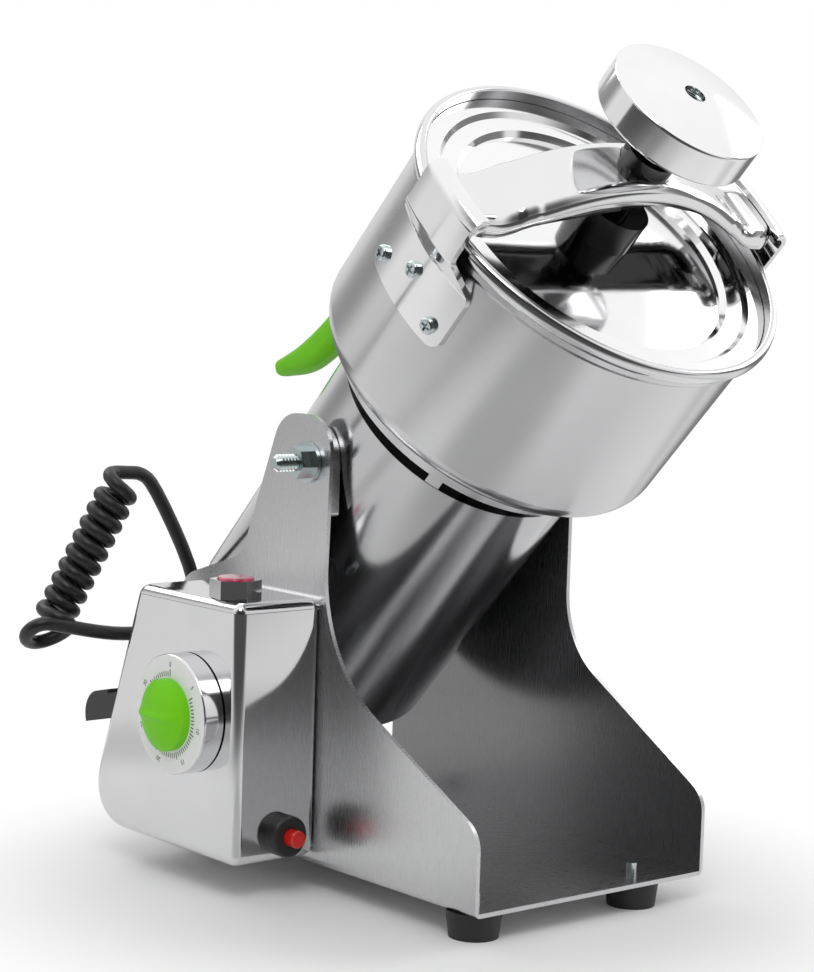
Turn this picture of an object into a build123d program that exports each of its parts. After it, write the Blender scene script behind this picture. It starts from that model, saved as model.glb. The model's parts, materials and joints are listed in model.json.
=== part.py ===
from build123d import *
import math
import os

# Electric spice grinder: a tilting motor head with a clamped bowl in a bent-sheet stand.
# Millimetres. +Z up, the bowl pours towards -Y, the control box is on the -X side.
# Stand pieces are drawn about the floor point under the pivot, head pieces about the head's own axis.

# Fits and small allowances
RUNNING_FIT = 0.05
SLIDE_FIT = 0.1
FACE_GAP = 0.2
SKIN_GAP = 0.3
OVERRUN = 1.0

# Stand
SHEET = 2.0
STAND_WIDTH = 140.0
STAND_FRONT = 124.0
STAND_REAR = 100.0
BEND_RADIUS = 3.0
FRONT_EDGE_HEIGHT = 37.0
FRONT_CORNER_RADIUS = 14.0
WAIST_HEIGHT = 95.0
WAIST_LEFT = 12.5
WAIST_LEFT_RADIUS = 70.0
WAIST_RIGHT = 29.0
WAIST_RIGHT_RADIUS = 45.0
WAIST_RIGHT_TOP = 158.0
SHOULDER_HEIGHT = 137.0
SHOULDER_DEPTH = 50.0
SHOULDER_DROP = 16.0
SHOULDER_RADIUS = 14.0
REAR_CORNER_RADIUS = 15.0
PIVOT_HEIGHT = 197.0
ARM_RADIUS = 19.0
ARM_SETBACK = 2.5
ARM_RISE = 21.7
PAD_DROP = 24.0
PAD_HALF_SHARE = 0.9

# Feet
FOOT_HEIGHT = 12.0
FOOT_DIAMETER = 25.0
FOOT_TAPER = 1.5
FOOT_FRONT_INSET = 14.0
FOOT_REAR_INSET = 18.0
FOOT_LEFT_INSET = 12.0
FOOT_RIGHT_INSET = 32.0
FOOT_SCREW_DIAMETER = 5.0
FOOT_SCREW_STAND = 5.5
FOOT_SCREW_HEAD_DIAMETER = 10.0
FOOT_SCREW_HEAD_HEIGHT = 3.0
FOOT_SCREW_RECESS = 5.0

# Pivot
PIVOT_SETBACK = 5.6
TILT = 43.6
STUD_DIAMETER = 8.0
STUD_REACH = 20.0
STUD_BITE = 6.0
NUT_FLATS = 13.0
NUT_HEIGHT = 6.5
WASHER_DIAMETER = 19.0
WASHER_THICKNESS = 2.0

# Control box
BOX_WIDTH = 47.0
BOX_FRONT = 13.0
BOX_TOP_DEPTH = 80.5
BOX_FOOT_DEPTH = 123.0
BOX_HEIGHT = 119.5
BOX_LIFT = 4.5
BOX_WALL = 1.2
BOX_EDGE = 2.5
BOX_REAR_RADIUS = 22.0
BOX_POST_DIAMETER = 8.0
BOX_POST_LENGTH = 10.0
BOX_POST_SHARE = 0.9
BOX_SCREW_DIAMETER = 4.0
BOX_SCREW_BITE = 9.0
BOX_SCREW_HEAD_DIAMETER = 7.5
BOX_SCREW_HEAD_HEIGHT = 2.4

# Timer
TIMER_BACK = 36.0
TIMER_RISE = 65.5
DIAL_DIAMETER = 55.0
DIAL_DEPTH = 10.5
DIAL_EDGE = 1.2
DIAL_LIFT = 0.6
GRIP_DIAMETER = 33.0
GRIP_DEPTH = 7.5
GRIP_RIDGE_DEPTH = 11.0
GRIP_RIDGE_WIDTH = 8.0
GRIP_EDGE = 2.0
TIMER_SHAFT_DIAMETER = 6.0
TIMER_SHAFT_BITE = 8.0
TIMER_CAN_DIAMETER = 44.0
TIMER_CAN_DEPTH = 24.0

# Indicator lamp
LAMP_INSET = 12.2
LAMP_BACK = 19.5
LAMP_TURN = 20.0
LAMP_FLATS = 20.5
LAMP_BEZEL_HEIGHT = 8.5
LAMP_LENS_DIAMETER = 17.0
LAMP_LENS_SEAT = 4.0
LAMP_LENS_CROWN = 1.2
LAMP_BARREL_DIAMETER = 10.0
LAMP_BARREL_LENGTH = 26.0
LAMP_NUT_FLATS = 14.0
LAMP_NUT_HEIGHT = 3.0

# Overload breaker
BREAKER_BACK_SHARE = 0.42
BREAKER_RISE = 12.5
COLLAR_DIAMETER = 19.0
COLLAR_DEPTH = 7.0
COLLAR_EDGE = 1.5
BREAKER_NECK_DIAMETER = 11.0
BREAKER_BODY_WIDTH = 16.0
BREAKER_BODY_HEIGHT = 15.0
BREAKER_BODY_DEPTH = 30.0
BUTTON_DIAMETER = 8.0
BUTTON_STAND = 6.0
BUTTON_EDGE = 1.0
BUTTON_TRAVEL = 3.0
BUTTON_TAIL = 6.0

# Cord: curls, routes of the two plain stretches, and glands
CORD_DIAMETER = 6.8
COIL_RADIUS = 7.0
COIL_PITCH = 7.65
COIL_TURNS = 10.5
COIL_LEAN = (23.0, -12.0)
COIL_START = (-124.1, 134.7, 104.6)
LOOP_RADIUS = 10.2
LOOP_TURNS = 1.65
LOOP_LEAN = (16.0, 55.0)
LOOP_START = (-136.0, 118.6, 103.6)
COIL_LIFT = 4.0
COIL_LIFT_TURNS = 1.0
COIL_SPANS_PER_TURN = 4
COIL_POINTS_PER_TURN = 32
LEAD_BEND_SHARE = 0.45
BOX_LEAD_START = 24.0
BOX_LEAD_ROUTE = [
    (-88.5, 110.4, 104.0),
]
BOX_LEAD_END = 10.5
CAP_LEAD_START = 7.0
CAP_LEAD_ROUTE = [
    (-70.3, 125.6, 176.4),
    (-46.5, 124.0, 132.5),
    (-44.0, 120.5, 107.0),
    (-41.0, 117.0, 91.5),
    (-36.0, 107.0, 84.5),
]
CAP_LEAD_END = 16.0
GLAND_DIAMETER = 12.5
GLAND_REACH = 8.0
GLAND_FLANGE_DIAMETER = 15.5
GLAND_FLANGE = 2.0
GLAND_BITE = 6.0
BOX_GLAND_RISE = 84.0
BOX_GLAND_INSET = 10.0
CAP_GLAND_SIDE = 34.0
MAINS_RISE = 59.0
MAINS_INSET = 17.0
MAINS_WIDTH = 24.0
MAINS_HEIGHT = 14.0
MAINS_REACH = 31.0
MAINS_DROOP = 13.0
MAINS_COLLAR = 9.0
MAINS_STEP = 2.0
MAINS_NOSE_RADIUS = 12.0
MAINS_BITE = 5.0
MAINS_NECK_DIAMETER = 11.0
MAINS_BORE = 7.2

# Motor tube
TUBE_DIAMETER = 126.0
TUBE_WALL = 1.5
TUBE_TOP = 43.0
TUBE_BOTTOM = -118.0
CAP_THICKNESS = 3.0
CAP_SPIGOT = 4.0
CAP_SLOT_WIDTH = 3.0
CAP_SLOT_LENGTH = 42.0
CAP_SLOT_PITCH = 9.0
CAP_SLOT_COUNT = 7
CAP_SPIGOT_WALL = 3.0

# Bowl and the ring under it
BOWL_DIAMETER = 172.0
BOWL_WALL = 1.5
BOWL_BOTTOM = 57.0
BOWL_CORNER = 10.0
BOWL_LEDGE = 147.0
BOWL_LEDGE_STEP = 2.0
BOWL_LEDGE_RISE = 2.5
RIM_HEIGHT = 158.8
RIM_BEAD = 3.0
RING_DIAMETER = 143.0
RING_WALL = 7.0
RING_FLOOR = 3.0
RING_SLOT_HEIGHT = 4.5
RING_TAB_COUNT = 5
RING_TAB_WIDTH = 7.0
RING_TAB_TURN = 23.0
BOWL_SCREW_COUNT = 4
BOWL_SCREW_CIRCLE = 58.0
BOWL_SCREW_DIAMETER = 5.0
BOWL_SCREW_HEAD_DIAMETER = 9.0
BOWL_SCREW_HEAD_HEIGHT = 2.4
BOWL_SCREW_BITE = 8.0

# Lugs on the bowl
LUG_SPAN = 50.0
LUG_BOTTOM = 109.0
LUG_SHEET = 2.4
LUG_WIDTH = 59.0
LUG_NECK_WIDTH = 39.0
LUG_SHOULDER = 138.0
LUG_SHOULDER_RADIUS = 8.0
LUG_JOGGLE_LOW = 141.0
LUG_JOGGLE_HIGH = 152.0
LUG_RIM_GAP = 5.0
LUG_TOP = 174.5
LUG_REACH = 7.4
LUG_BEND = 6.0
LUG_CORNER = 6.0
LUG_NOSE_CORNER = 1.6
LUG_SCREW_TURN = 14.0
LUG_SCREW_LOW = 117.0
LUG_SCREW_HIGH = 128.5
LUG_SCREW_DIAMETER = 4.0
LUG_SCREW_HEAD_DIAMETER = 7.5
LUG_SCREW_HEAD_HEIGHT = 2.6
LUG_SCREW_CROSS = 1.1
LUG_SCREW_CROSS_DEPTH = 1.4
LUG_SCREW_CROSS_SHARE = 0.62

# Clamp bar, spindle and knob
BAR_HALF = 92.0
BAR_WIDTH = 34.0
BAR_DEPTH = 8.0
BAR_SKIN = 2.6
BAR_CROWN = 194.5
BAR_BREAK = 75.0
BAR_CROWN_RADIUS = 118.0
BAR_BREAK_RADIUS = 20.0
BUSH_DIAMETER = 24.0
BUSH_STAND = 6.0
BUSH_DROP = 12.0
SPINDLE_DIAMETER = 14.0
SPINDLE_FOOT_DIAMETER = 20.0
SPINDLE_FOOT_HEIGHT = 4.0
SPINDLE_SEAT = 8.0
KNOB_DIAMETER = 72.0
KNOB_TOP = 230.5
KNOB_THICKNESS = 15.5
KNOB_EDGE = 1.2
KNOB_CROWN = 4.0
KNOB_HUB_DIAMETER = 20.0
KNOB_HUB_LENGTH = 13.0
KNOB_RECESS_DIAMETER = 10.0
KNOB_RECESS_DEPTH = 3.0
KNOB_SCREW_DIAMETER = 5.0
KNOB_SCREW_LENGTH = 16.0
KNOB_SCREW_HEAD_HEIGHT = 2.2

# Lid
LID_SHEET = 1.5
GASKET_THICKNESS = 2.5
LID_FLANGE_WIDTH = 8.0
LID_STEP_ONE = 2.2
LID_BAND_WIDTH = 8.0
LID_STEP_TWO = 2.6
LID_STEP_RUN = 2.0
LID_DOME_RISE = 7.0
SOCKET_DIAMETER = 32.0
SOCKET_HEIGHT = 15.0

# Handle
HANDLE_WIDTH = 15.0
HANDLE_EDGE = 4.0
HANDLE_FOOT_HEIGHT = 12.0
HANDLE_ROOT_REACH = 20.0
HANDLE_OUTER_REACH = 103.0
HANDLE_OUTER_RISE = -5.0
HANDLE_TIP_REACH = 121.0
HANDLE_TIP_RISE = -55.0
HANDLE_TIP_WIDTH = 13.0
HANDLE_ROOT_WIDTH = 16.0
HANDLE_BEND_RADIUS = 22.0
HANDLE_TIP_RADIUS = 5.0
HANDLE_SCREW_SPREAD = 6.4
HANDLE_SCREW_DIAMETER = 3.5
HANDLE_SCREW_BITE = 12.0
HANDLE_SCREW_HEAD_DIAMETER = 5.8
HANDLE_SCREW_HEAD_HEIGHT = 2.5

# Motor
SHAFT_DIAMETER = 12.0
SHAFT_TOP = 116.0
SHAFT_BOTTOM = -99.0
BEARING_DIAMETER = 32.0
BEARING_HEIGHT = 10.0
UPPER_BRACKET = 33.0
LOWER_BRACKET = -95.5
BRACKET_THICKNESS = 6.0
BRACKET_HUB_WALL = 5.0
BRACKET_SLOT_DIAMETER = 18.0
BRACKET_SLOT_CIRCLE = 42.0
BRACKET_SLOT_COUNT = 6
STATOR_TOP = -8.0
STATOR_BOTTOM = -54.0
STATOR_YOKE = 12.0
POLE_WIDTH = 40.0
ARMATURE_DIAMETER = 56.0
AIR_GAP = 0.7
ARMATURE_SLOTS = 12
ARMATURE_SLOT_WIDTH = 4.0
ARMATURE_SLOT_DEPTH = 9.0
COIL_SIDE = 9.0
COIL_OVERHANG = 9.0
COIL_SHOE_SHARE = 0.2
COMMUTATOR_DIAMETER = 30.0
COMMUTATOR_LENGTH = 20.0
COMMUTATOR_GAP = 4.0
BRUSH_WIDTH = 7.0
BRUSH_HEIGHT = 11.0
BRUSH_LENGTH = 20.0
BRUSH_HOLDER_WALL = 2.5
BRUSH_HOLDER_SHARE = 0.82
FAN_DIAMETER = 96.0
FAN_PLATE = 2.0
FAN_HEIGHT = 14.0
FAN_HUB_DIAMETER = 22.0
FAN_BLADES = 9
FAN_RISE = 12.0

# Blades
SEAL_DIAMETER = 26.0
SEAL_STAND = 3.0
BLADE_THICKNESS = 3.0
BLADE_WIDTH = 18.0
BLADE_TIP_WIDTH = 10.0
BLADE_SPACER = 13.0
BLADE_SPACER_DIAMETER = 22.0
BLADE_SPANS = (156.0, 146.0, 132.0)
BLADE_TURNS = (0.0, 60.0, 120.0)
BLADE_NUT_FLATS = 19.0
BLADE_NUT_HEIGHT = 8.0

# Worked-out places
STAND_HALF = STAND_WIDTH / 2
INNER_HALF = STAND_HALF - SHEET
BASE_TOP = FOOT_HEIGHT + SHEET
TUBE_RADIUS = TUBE_DIAMETER / 2
TUBE_BORE = TUBE_RADIUS - TUBE_WALL
STUD_HOLE = STUD_DIAMETER / 2 + RUNNING_FIT
BOX_BOTTOM = FOOT_HEIGHT + BOX_LIFT
BOX_TOP = BOX_BOTTOM + BOX_HEIGHT
BOX_OUTER = STAND_HALF + BOX_WIDTH
BOX_REAR_SLOPE = (BOX_FOOT_DEPTH - BOX_TOP_DEPTH) / BOX_HEIGHT
TIMER_Y = TIMER_BACK - BOX_FRONT
TIMER_Z = BOX_BOTTOM + TIMER_RISE
BREAKER_X = -(BOX_OUTER - BOX_WIDTH * (1 - BREAKER_BACK_SHARE))
BREAKER_Z = BOX_BOTTOM + BREAKER_RISE
LAMP_X = -(BOX_OUTER - LAMP_INSET)
LAMP_Y = LAMP_BACK - BOX_FRONT
BOWL_RADIUS = BOWL_DIAMETER / 2
RIM_BAND = BOWL_RADIUS + BOWL_LEDGE_STEP
RIM_RADIUS = RIM_BAND + RIM_BEAD / 2
HEAD = Pos(0, 0, PIVOT_HEIGHT) * Rot(TILT, 0, 0) * Pos(0, -PIVOT_SETBACK, 0)


def rod(radius, low, high, x=0.0, y=0.0):
    """Upright cylinder between two heights."""
    return Pos(x, y, (low + high) / 2) * Cylinder(radius, high - low)


def tube(outer, inner, low, high):
    """Upright ring between two heights."""
    return rod(outer, low, high) - rod(inner, low - OVERRUN, high + OVERRUN)


def block(x0, x1, y0, y1, z0, z1):
    """Box between two corners."""
    return Pos((x0 + x1) / 2, (y0 + y1) / 2, (z0 + z1) / 2) * Box(x1 - x0, y1 - y0, z1 - z0)


def along_x(shape, x, y, z, facing=1):
    """Turn an upright piece so that its top looks along +X or -X, and place it."""
    return Pos(x, y, z) * Rot(0, 90 * facing, 0) * shape


def hexagon(flats, low, high):
    """Upright hexagonal prism between two heights."""
    return Pos(0, 0, low) * extrude(RegularPolygon(flats / math.sqrt(3), 6), high - low)


def outline(points):
    """Face inside a closed outline of (across, up, corner radius) points."""
    places = [(across, up) for across, up, _ in points]
    radii = [radius for _, _, radius in points]
    return make_face(FilletPolyline(*places, radius=radii, close=True))


def plate_x(face, x0, x1):
    """Prism of a (Y, Z) outline between two X places."""
    return extrude(Plane.YZ.offset(x0) * face, x1 - x0)


def around(shape, count, start=0.0):
    """Copies of a piece spaced evenly about the Z axis."""
    return [Rot(0, 0, start + 360 * i / count) * shape for i in range(count)]


def group(shapes):
    """Several separate solids as one node."""
    return Compound([solid for shape in shapes for solid in shape.solids()])


def pan_screw(diameter, bite, head_diameter, head_height):
    """Screw that points down from a pan head standing on the plane Z = 0."""
    head = fillet(rod(head_diameter / 2, 0, head_height).edges().group_by(Axis.Z)[-1], head_height / 2)
    shank = rod(diameter / 2, -bite, 0)
    slot = LUG_SCREW_CROSS * head_diameter / LUG_SCREW_HEAD_DIAMETER
    arm = head_diameter * LUG_SCREW_CROSS_SHARE
    depth = head_height * LUG_SCREW_CROSS_DEPTH / LUG_SCREW_HEAD_HEIGHT
    cross = Box(arm, slot, 2 * depth) + Box(slot, arm, 2 * depth)
    return head + shank - Pos(0, 0, head_height) * cross


def side_outline(left):
    """Side plate: upright front edge, slope, waist, rounded arm and rear shoulder."""
    waist = WAIST_LEFT if left else WAIST_RIGHT
    radius = WAIST_LEFT_RADIUS if left else WAIST_RIGHT_RADIUS
    arm_top = PIVOT_HEIGHT + ARM_RISE
    arm_front = ARM_SETBACK - ARM_RADIUS
    arm_rear = ARM_SETBACK + ARM_RADIUS
    neck = [] if left else [(-waist, FOOT_HEIGHT + WAIST_RIGHT_TOP, ARM_RADIUS)]
    return outline([
        (-STAND_FRONT, FOOT_HEIGHT, 0),
        (-STAND_FRONT, FOOT_HEIGHT + FRONT_EDGE_HEIGHT, FRONT_CORNER_RADIUS),
        (-waist, FOOT_HEIGHT + WAIST_HEIGHT, radius),
        *neck,
        (arm_front, arm_top, ARM_RADIUS - SHEET),
        (arm_rear, arm_top, ARM_RADIUS - SHEET),
        (SHOULDER_DEPTH, FOOT_HEIGHT + SHOULDER_HEIGHT, SHOULDER_RADIUS),
        (STAND_REAR, FOOT_HEIGHT + SHOULDER_HEIGHT - SHOULDER_DROP, REAR_CORNER_RADIUS),
        (STAND_REAR, FOOT_HEIGHT, 0),
    ])


def foot_places():
    """Foot centres: the right pair stands further in than the left pair."""
    left = FOOT_LEFT_INSET - STAND_HALF
    right = STAND_HALF - FOOT_RIGHT_INSET
    front = FOOT_FRONT_INSET - STAND_FRONT
    rear = STAND_REAR - FOOT_REAR_INSET
    return [(x, y) for x in (left, right) for y in (front, rear)]


def box_post_places():
    """(Y, Z) centres of the posts that the box screws bite into."""
    inset = BOX_WALL + BOX_POST_DIAMETER / 2 * BOX_POST_SHARE
    front = inset - BOX_FRONT
    low = BOX_BOTTOM + inset
    high = BOX_TOP - inset
    rear_low = BOX_FOOT_DEPTH - BOX_FRONT - 2 * BOX_REAR_RADIUS
    rear_high = BOX_TOP_DEPTH - BOX_FRONT - 2 * inset
    return [(front, low), (front, high), (rear_low, low), (rear_high, high)]


def make_stand():
    """U-shaped bracket of bent sheet with pivot, foot-screw and box-screw holes."""
    base = block(-STAND_HALF, STAND_HALF, -STAND_FRONT, STAND_REAR, FOOT_HEIGHT, BASE_TOP)
    left = plate_x(side_outline(True), -STAND_HALF, -INNER_HALF)
    right = plate_x(side_outline(False), INNER_HALF, STAND_HALF)
    body = base + left + right
    folds = body.edges().filter_by(Axis.Y).filter_by_position(Axis.Z, FOOT_HEIGHT, FOOT_HEIGHT)
    body = fillet(folds, BEND_RADIUS)
    body -= along_x(rod(STUD_HOLE, -STAND_WIDTH, STAND_WIDTH), 0, 0, PIVOT_HEIGHT)
    for x, y in foot_places():
        body -= rod(FOOT_SCREW_DIAMETER / 2 + SLIDE_FIT, 0, PIVOT_HEIGHT / 2, x, y)
    for y, z in box_post_places():
        body -= along_x(rod(BOX_SCREW_DIAMETER / 2 + SLIDE_FIT, 0, SHEET * 2), -STAND_HALF - OVERRUN, y, z)
    return body


def make_pads():
    """Spacer pad between each arm and the motor tube."""
    half = ARM_RADIUS * PAD_HALF_SHARE
    face = outline([
        (ARM_SETBACK - half, PIVOT_HEIGHT - PAD_DROP, SHEET),
        (ARM_SETBACK - half, PIVOT_HEIGHT + half, half - SHEET),
        (ARM_SETBACK + half, PIVOT_HEIGHT + half, half - SHEET),
        (ARM_SETBACK + half, PIVOT_HEIGHT - PAD_DROP, SHEET),
    ])
    inner = TUBE_RADIUS + SKIN_GAP
    hole = along_x(rod(STUD_HOLE, -STAND_WIDTH, STAND_WIDTH), 0, 0, PIVOT_HEIGHT)
    return group([plate_x(face, -INNER_HALF, -inner) - hole, plate_x(face, inner, INNER_HALF) - hole])


def make_feet():
    """Rubber feet, each bored from below for its screw."""
    top = Pos(0, 0, FOOT_HEIGHT) * Circle(FOOT_DIAMETER / 2)
    foot = loft([Circle(FOOT_DIAMETER / 2 - FOOT_TAPER), top])
    foot -= rod(FOOT_SCREW_HEAD_DIAMETER / 2 + SLIDE_FIT, -OVERRUN, FOOT_SCREW_RECESS)
    foot -= rod(FOOT_SCREW_DIAMETER / 2 + SLIDE_FIT, 0, FOOT_HEIGHT + OVERRUN)
    return group([Pos(x, y, 0) * foot for x, y in foot_places()])


def make_foot_screws():
    """Screws up through the feet; their ends stand above the base plate."""
    screw = rod(FOOT_SCREW_DIAMETER / 2, FOOT_SCREW_RECESS, BASE_TOP + FOOT_SCREW_STAND)
    head_low = FOOT_SCREW_RECESS - FOOT_SCREW_HEAD_HEIGHT
    screw += rod(FOOT_SCREW_HEAD_DIAMETER / 2, head_low, FOOT_SCREW_RECESS)
    return group([Pos(x, y, 0) * screw for x, y in foot_places()])


def box_outline(inset):
    """Control box seen from the side, inset by a wall."""
    slant = inset * math.sqrt(1 + BOX_REAR_SLOPE ** 2)
    front = inset - BOX_FRONT
    low = BOX_BOTTOM + inset
    high = BOX_TOP - inset
    rear_low = BOX_FOOT_DEPTH - BOX_FRONT - slant - inset * BOX_REAR_SLOPE
    rear_high = BOX_TOP_DEPTH - BOX_FRONT - slant + inset * BOX_REAR_SLOPE
    edge = BOX_EDGE if inset == 0 else BOX_EDGE - BOX_WALL
    return outline([
        (front, low, edge),
        (front, high, edge),
        (rear_high, high, edge),
        (rear_low, low, BOX_REAR_RADIUS - inset),
    ])


def rear_face_place(rise, inset):
    """Place on the box's slanted rear face that looks straight out of it."""
    y = BOX_TOP_DEPTH - BOX_FRONT + (BOX_HEIGHT - rise) * BOX_REAR_SLOPE
    lean = math.degrees(math.atan(BOX_REAR_SLOPE))
    return Pos(-(STAND_HALF + inset), y, BOX_BOTTOM + rise) * Rot(lean - 90, 0, 0)


def make_box():
    """Folded sheet box, open towards the stand, with four posts for its screws."""
    body = plate_x(box_outline(0), -BOX_OUTER, -STAND_HALF)
    outer = body.faces().sort_by(Axis.X)[0].edges()
    body = fillet(outer, BOX_EDGE)
    body -= plate_x(box_outline(BOX_WALL), BOX_WALL - BOX_OUTER, OVERRUN - STAND_HALF)
    for y, z in box_post_places():
        post = rod(BOX_POST_DIAMETER / 2, 0, BOX_POST_LENGTH)
        post -= rod(BOX_SCREW_DIAMETER / 2 + SLIDE_FIT, -OVERRUN, BOX_POST_LENGTH + OVERRUN)
        body += along_x(post, -STAND_HALF, y, z, -1)
    bore = rod(TIMER_SHAFT_DIAMETER, -BOX_EDGE, BOX_EDGE)
    body -= along_x(bore, -BOX_OUTER, TIMER_Y, TIMER_Z)
    body -= rod(LAMP_BARREL_DIAMETER / 2 + SLIDE_FIT, BOX_TOP - BOX_EDGE, BOX_TOP + OVERRUN, LAMP_X, LAMP_Y)
    neck = rod(BREAKER_NECK_DIAMETER / 2 + SLIDE_FIT, -BOX_EDGE, OVERRUN)
    body -= Pos(BREAKER_X, -BOX_FRONT, BREAKER_Z) * Rot(90, 0, 0) * neck
    cord = rod(GLAND_DIAMETER / 2 + SLIDE_FIT, -BOX_EDGE, OVERRUN)
    body -= rear_face_place(BOX_GLAND_RISE, BOX_GLAND_INSET) * cord
    mains = rod(MAINS_NECK_DIAMETER / 2 + SLIDE_FIT, -BOX_EDGE, OVERRUN)
    body -= rear_face_place(MAINS_RISE, BOX_WIDTH - MAINS_INSET) * mains
    return body


def make_box_screws():
    """Screws from inside the stand into the box's posts."""
    screw = pan_screw(BOX_SCREW_DIAMETER, BOX_SCREW_BITE, BOX_SCREW_HEAD_DIAMETER, BOX_SCREW_HEAD_HEIGHT)
    return group([along_x(screw, -INNER_HALF, y, z) for y, z in box_post_places()])


def make_timer():
    """Timer: movement behind the panel, dial, grip and shaft in front."""
    face = BOX_OUTER
    can = rod(TIMER_CAN_DIAMETER / 2, BOX_WALL, BOX_WALL + TIMER_CAN_DEPTH)
    can -= rod(TIMER_SHAFT_DIAMETER / 2 + RUNNING_FIT, 0, BOX_WALL + TIMER_CAN_DEPTH / 2)
    dial = rod(DIAL_DIAMETER / 2, DIAL_LIFT, DIAL_LIFT + DIAL_DEPTH)
    dial = fillet(dial.edges().group_by(Axis.Z)[-1], DIAL_EDGE)
    dial -= rod(TIMER_SHAFT_DIAMETER / 2 + SLIDE_FIT, 0, DIAL_DEPTH + OVERRUN)
    seat = DIAL_LIFT + DIAL_DEPTH
    grip = rod(GRIP_DIAMETER / 2, seat, seat + GRIP_DEPTH)
    grip = fillet(grip.edges().group_by(Axis.Z)[-1], GRIP_EDGE)
    slot = Rot(0, 0, 90) * SlotOverall(GRIP_DIAMETER, GRIP_RIDGE_WIDTH)
    ridge = Pos(0, 0, seat) * extrude(slot, GRIP_RIDGE_DEPTH)
    grip += fillet(ridge.edges().group_by(Axis.Z)[-1], GRIP_EDGE)
    grip -= rod(TIMER_SHAFT_DIAMETER / 2 + SLIDE_FIT, seat - OVERRUN, seat + TIMER_SHAFT_BITE)
    shaft = rod(TIMER_SHAFT_DIAMETER / 2, -TIMER_CAN_DEPTH / 2, seat + TIMER_SHAFT_BITE - SLIDE_FIT)
    return {
        "timer_movement": along_x(can, -face, TIMER_Y, TIMER_Z),
        "timer_dial": along_x(dial, -face, TIMER_Y, TIMER_Z, -1),
        "timer_grip": along_x(grip, -face, TIMER_Y, TIMER_Z, -1),
        "timer_shaft": along_x(shaft, -face, TIMER_Y, TIMER_Z, -1),
    }


def make_lamp():
    """Indicator lamp: hexagonal bezel, lens, and a barrel with its nut under the box top."""
    seat = LAMP_BEZEL_HEIGHT - LAMP_LENS_SEAT
    bezel = Rot(0, 0, LAMP_TURN) * hexagon(LAMP_FLATS, 0, LAMP_BEZEL_HEIGHT)
    bezel -= rod(LAMP_LENS_DIAMETER / 2 + SLIDE_FIT, seat, LAMP_BEZEL_HEIGHT + OVERRUN)
    bezel -= rod(LAMP_BARREL_DIAMETER / 2 + SLIDE_FIT, -OVERRUN, seat + OVERRUN)
    lens = rod(LAMP_LENS_DIAMETER / 2, seat, LAMP_BEZEL_HEIGHT + LAMP_LENS_CROWN)
    lens = fillet(lens.edges().group_by(Axis.Z)[-1], LAMP_LENS_CROWN)
    barrel = rod(LAMP_BARREL_DIAMETER / 2, -LAMP_BARREL_LENGTH, seat)
    barrel += hexagon(LAMP_NUT_FLATS, -BOX_WALL - LAMP_NUT_HEIGHT, -BOX_WALL)
    place = Pos(LAMP_X, LAMP_Y, BOX_TOP)
    return {
        "lamp_bezel": place * bezel,
        "lamp_lens": place * lens,
        "lamp_barrel": place * barrel,
    }


def make_breaker():
    """Overload breaker: body inside the box front, collar outside, sliding button."""
    place = Pos(BREAKER_X, -BOX_FRONT, BREAKER_Z) * Rot(90, 0, 0)
    bore = BUTTON_DIAMETER / 2 + RUNNING_FIT
    collar = rod(COLLAR_DIAMETER / 2, 0, COLLAR_DEPTH)
    collar = fillet(collar.edges().group_by(Axis.Z)[-1], COLLAR_EDGE)
    collar -= rod(BREAKER_NECK_DIAMETER / 2 + SLIDE_FIT, -OVERRUN, COLLAR_DEPTH / 2)
    collar -= rod(bore, 0, COLLAR_DEPTH + OVERRUN)
    half_width = BREAKER_BODY_WIDTH / 2
    half_height = BREAKER_BODY_HEIGHT / 2
    back = -BOX_WALL - BREAKER_BODY_DEPTH
    body = block(-half_width, half_width, -half_height, half_height, back, -BOX_WALL)
    body += rod(BREAKER_NECK_DIAMETER / 2, -BOX_WALL, COLLAR_DEPTH / 2 - SLIDE_FIT)
    body -= rod(bore, -BUTTON_TAIL - BUTTON_TRAVEL - FACE_GAP, COLLAR_DEPTH)
    button = rod(BUTTON_DIAMETER / 2, -BUTTON_TAIL, COLLAR_DEPTH + BUTTON_STAND)
    button = fillet(button.edges().group_by(Axis.Z)[-1], BUTTON_EDGE)
    return {
        "breaker_collar": place * collar,
        "breaker_body": place * body,
        "reset_button": place * button,
    }


def make_gland():
    """Round cord bush standing on the plane Z = 0, closed where the cord's end meets it."""
    body = rod(GLAND_DIAMETER / 2, -GLAND_BITE, GLAND_REACH)
    return body + rod(GLAND_FLANGE_DIAMETER / 2, 0, GLAND_FLANGE)


def make_mains_gland():
    """Bent strain relief of the mains lead on the box's rear face, bored for the lead."""
    half = MAINS_HEIGHT / 2
    profile = outline([
        (0, -half, 0),
        (0, half - MAINS_STEP, 0),
        (MAINS_COLLAR, half - MAINS_STEP, 0),
        (MAINS_COLLAR, half, 0),
        (MAINS_REACH, half, MAINS_NOSE_RADIUS),
        (MAINS_REACH, -half, 0),
    ])
    boot = plate_x(profile, -MAINS_WIDTH / 2, MAINS_WIDTH / 2)
    bore = Pos(0, MAINS_REACH - MAINS_NOSE_RADIUS, 0) * rod(MAINS_BORE / 2, -MAINS_HEIGHT, 0)
    lean = math.degrees(math.atan(BOX_REAR_SLOPE))
    turn = Rot(90 - lean - MAINS_DROOP, 0, 0)
    boot = rear_face_place(MAINS_RISE, BOX_WIDTH - MAINS_INSET) * turn * (boot - bore)
    inside = plate_x(box_outline(0), -BOX_OUTER, -STAND_HALF)
    neck = rod(MAINS_NECK_DIAMETER / 2, -MAINS_BITE, MAINS_BITE)
    return boot - inside + rear_face_place(MAINS_RISE, BOX_WIDTH - MAINS_INSET) * neck


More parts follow.
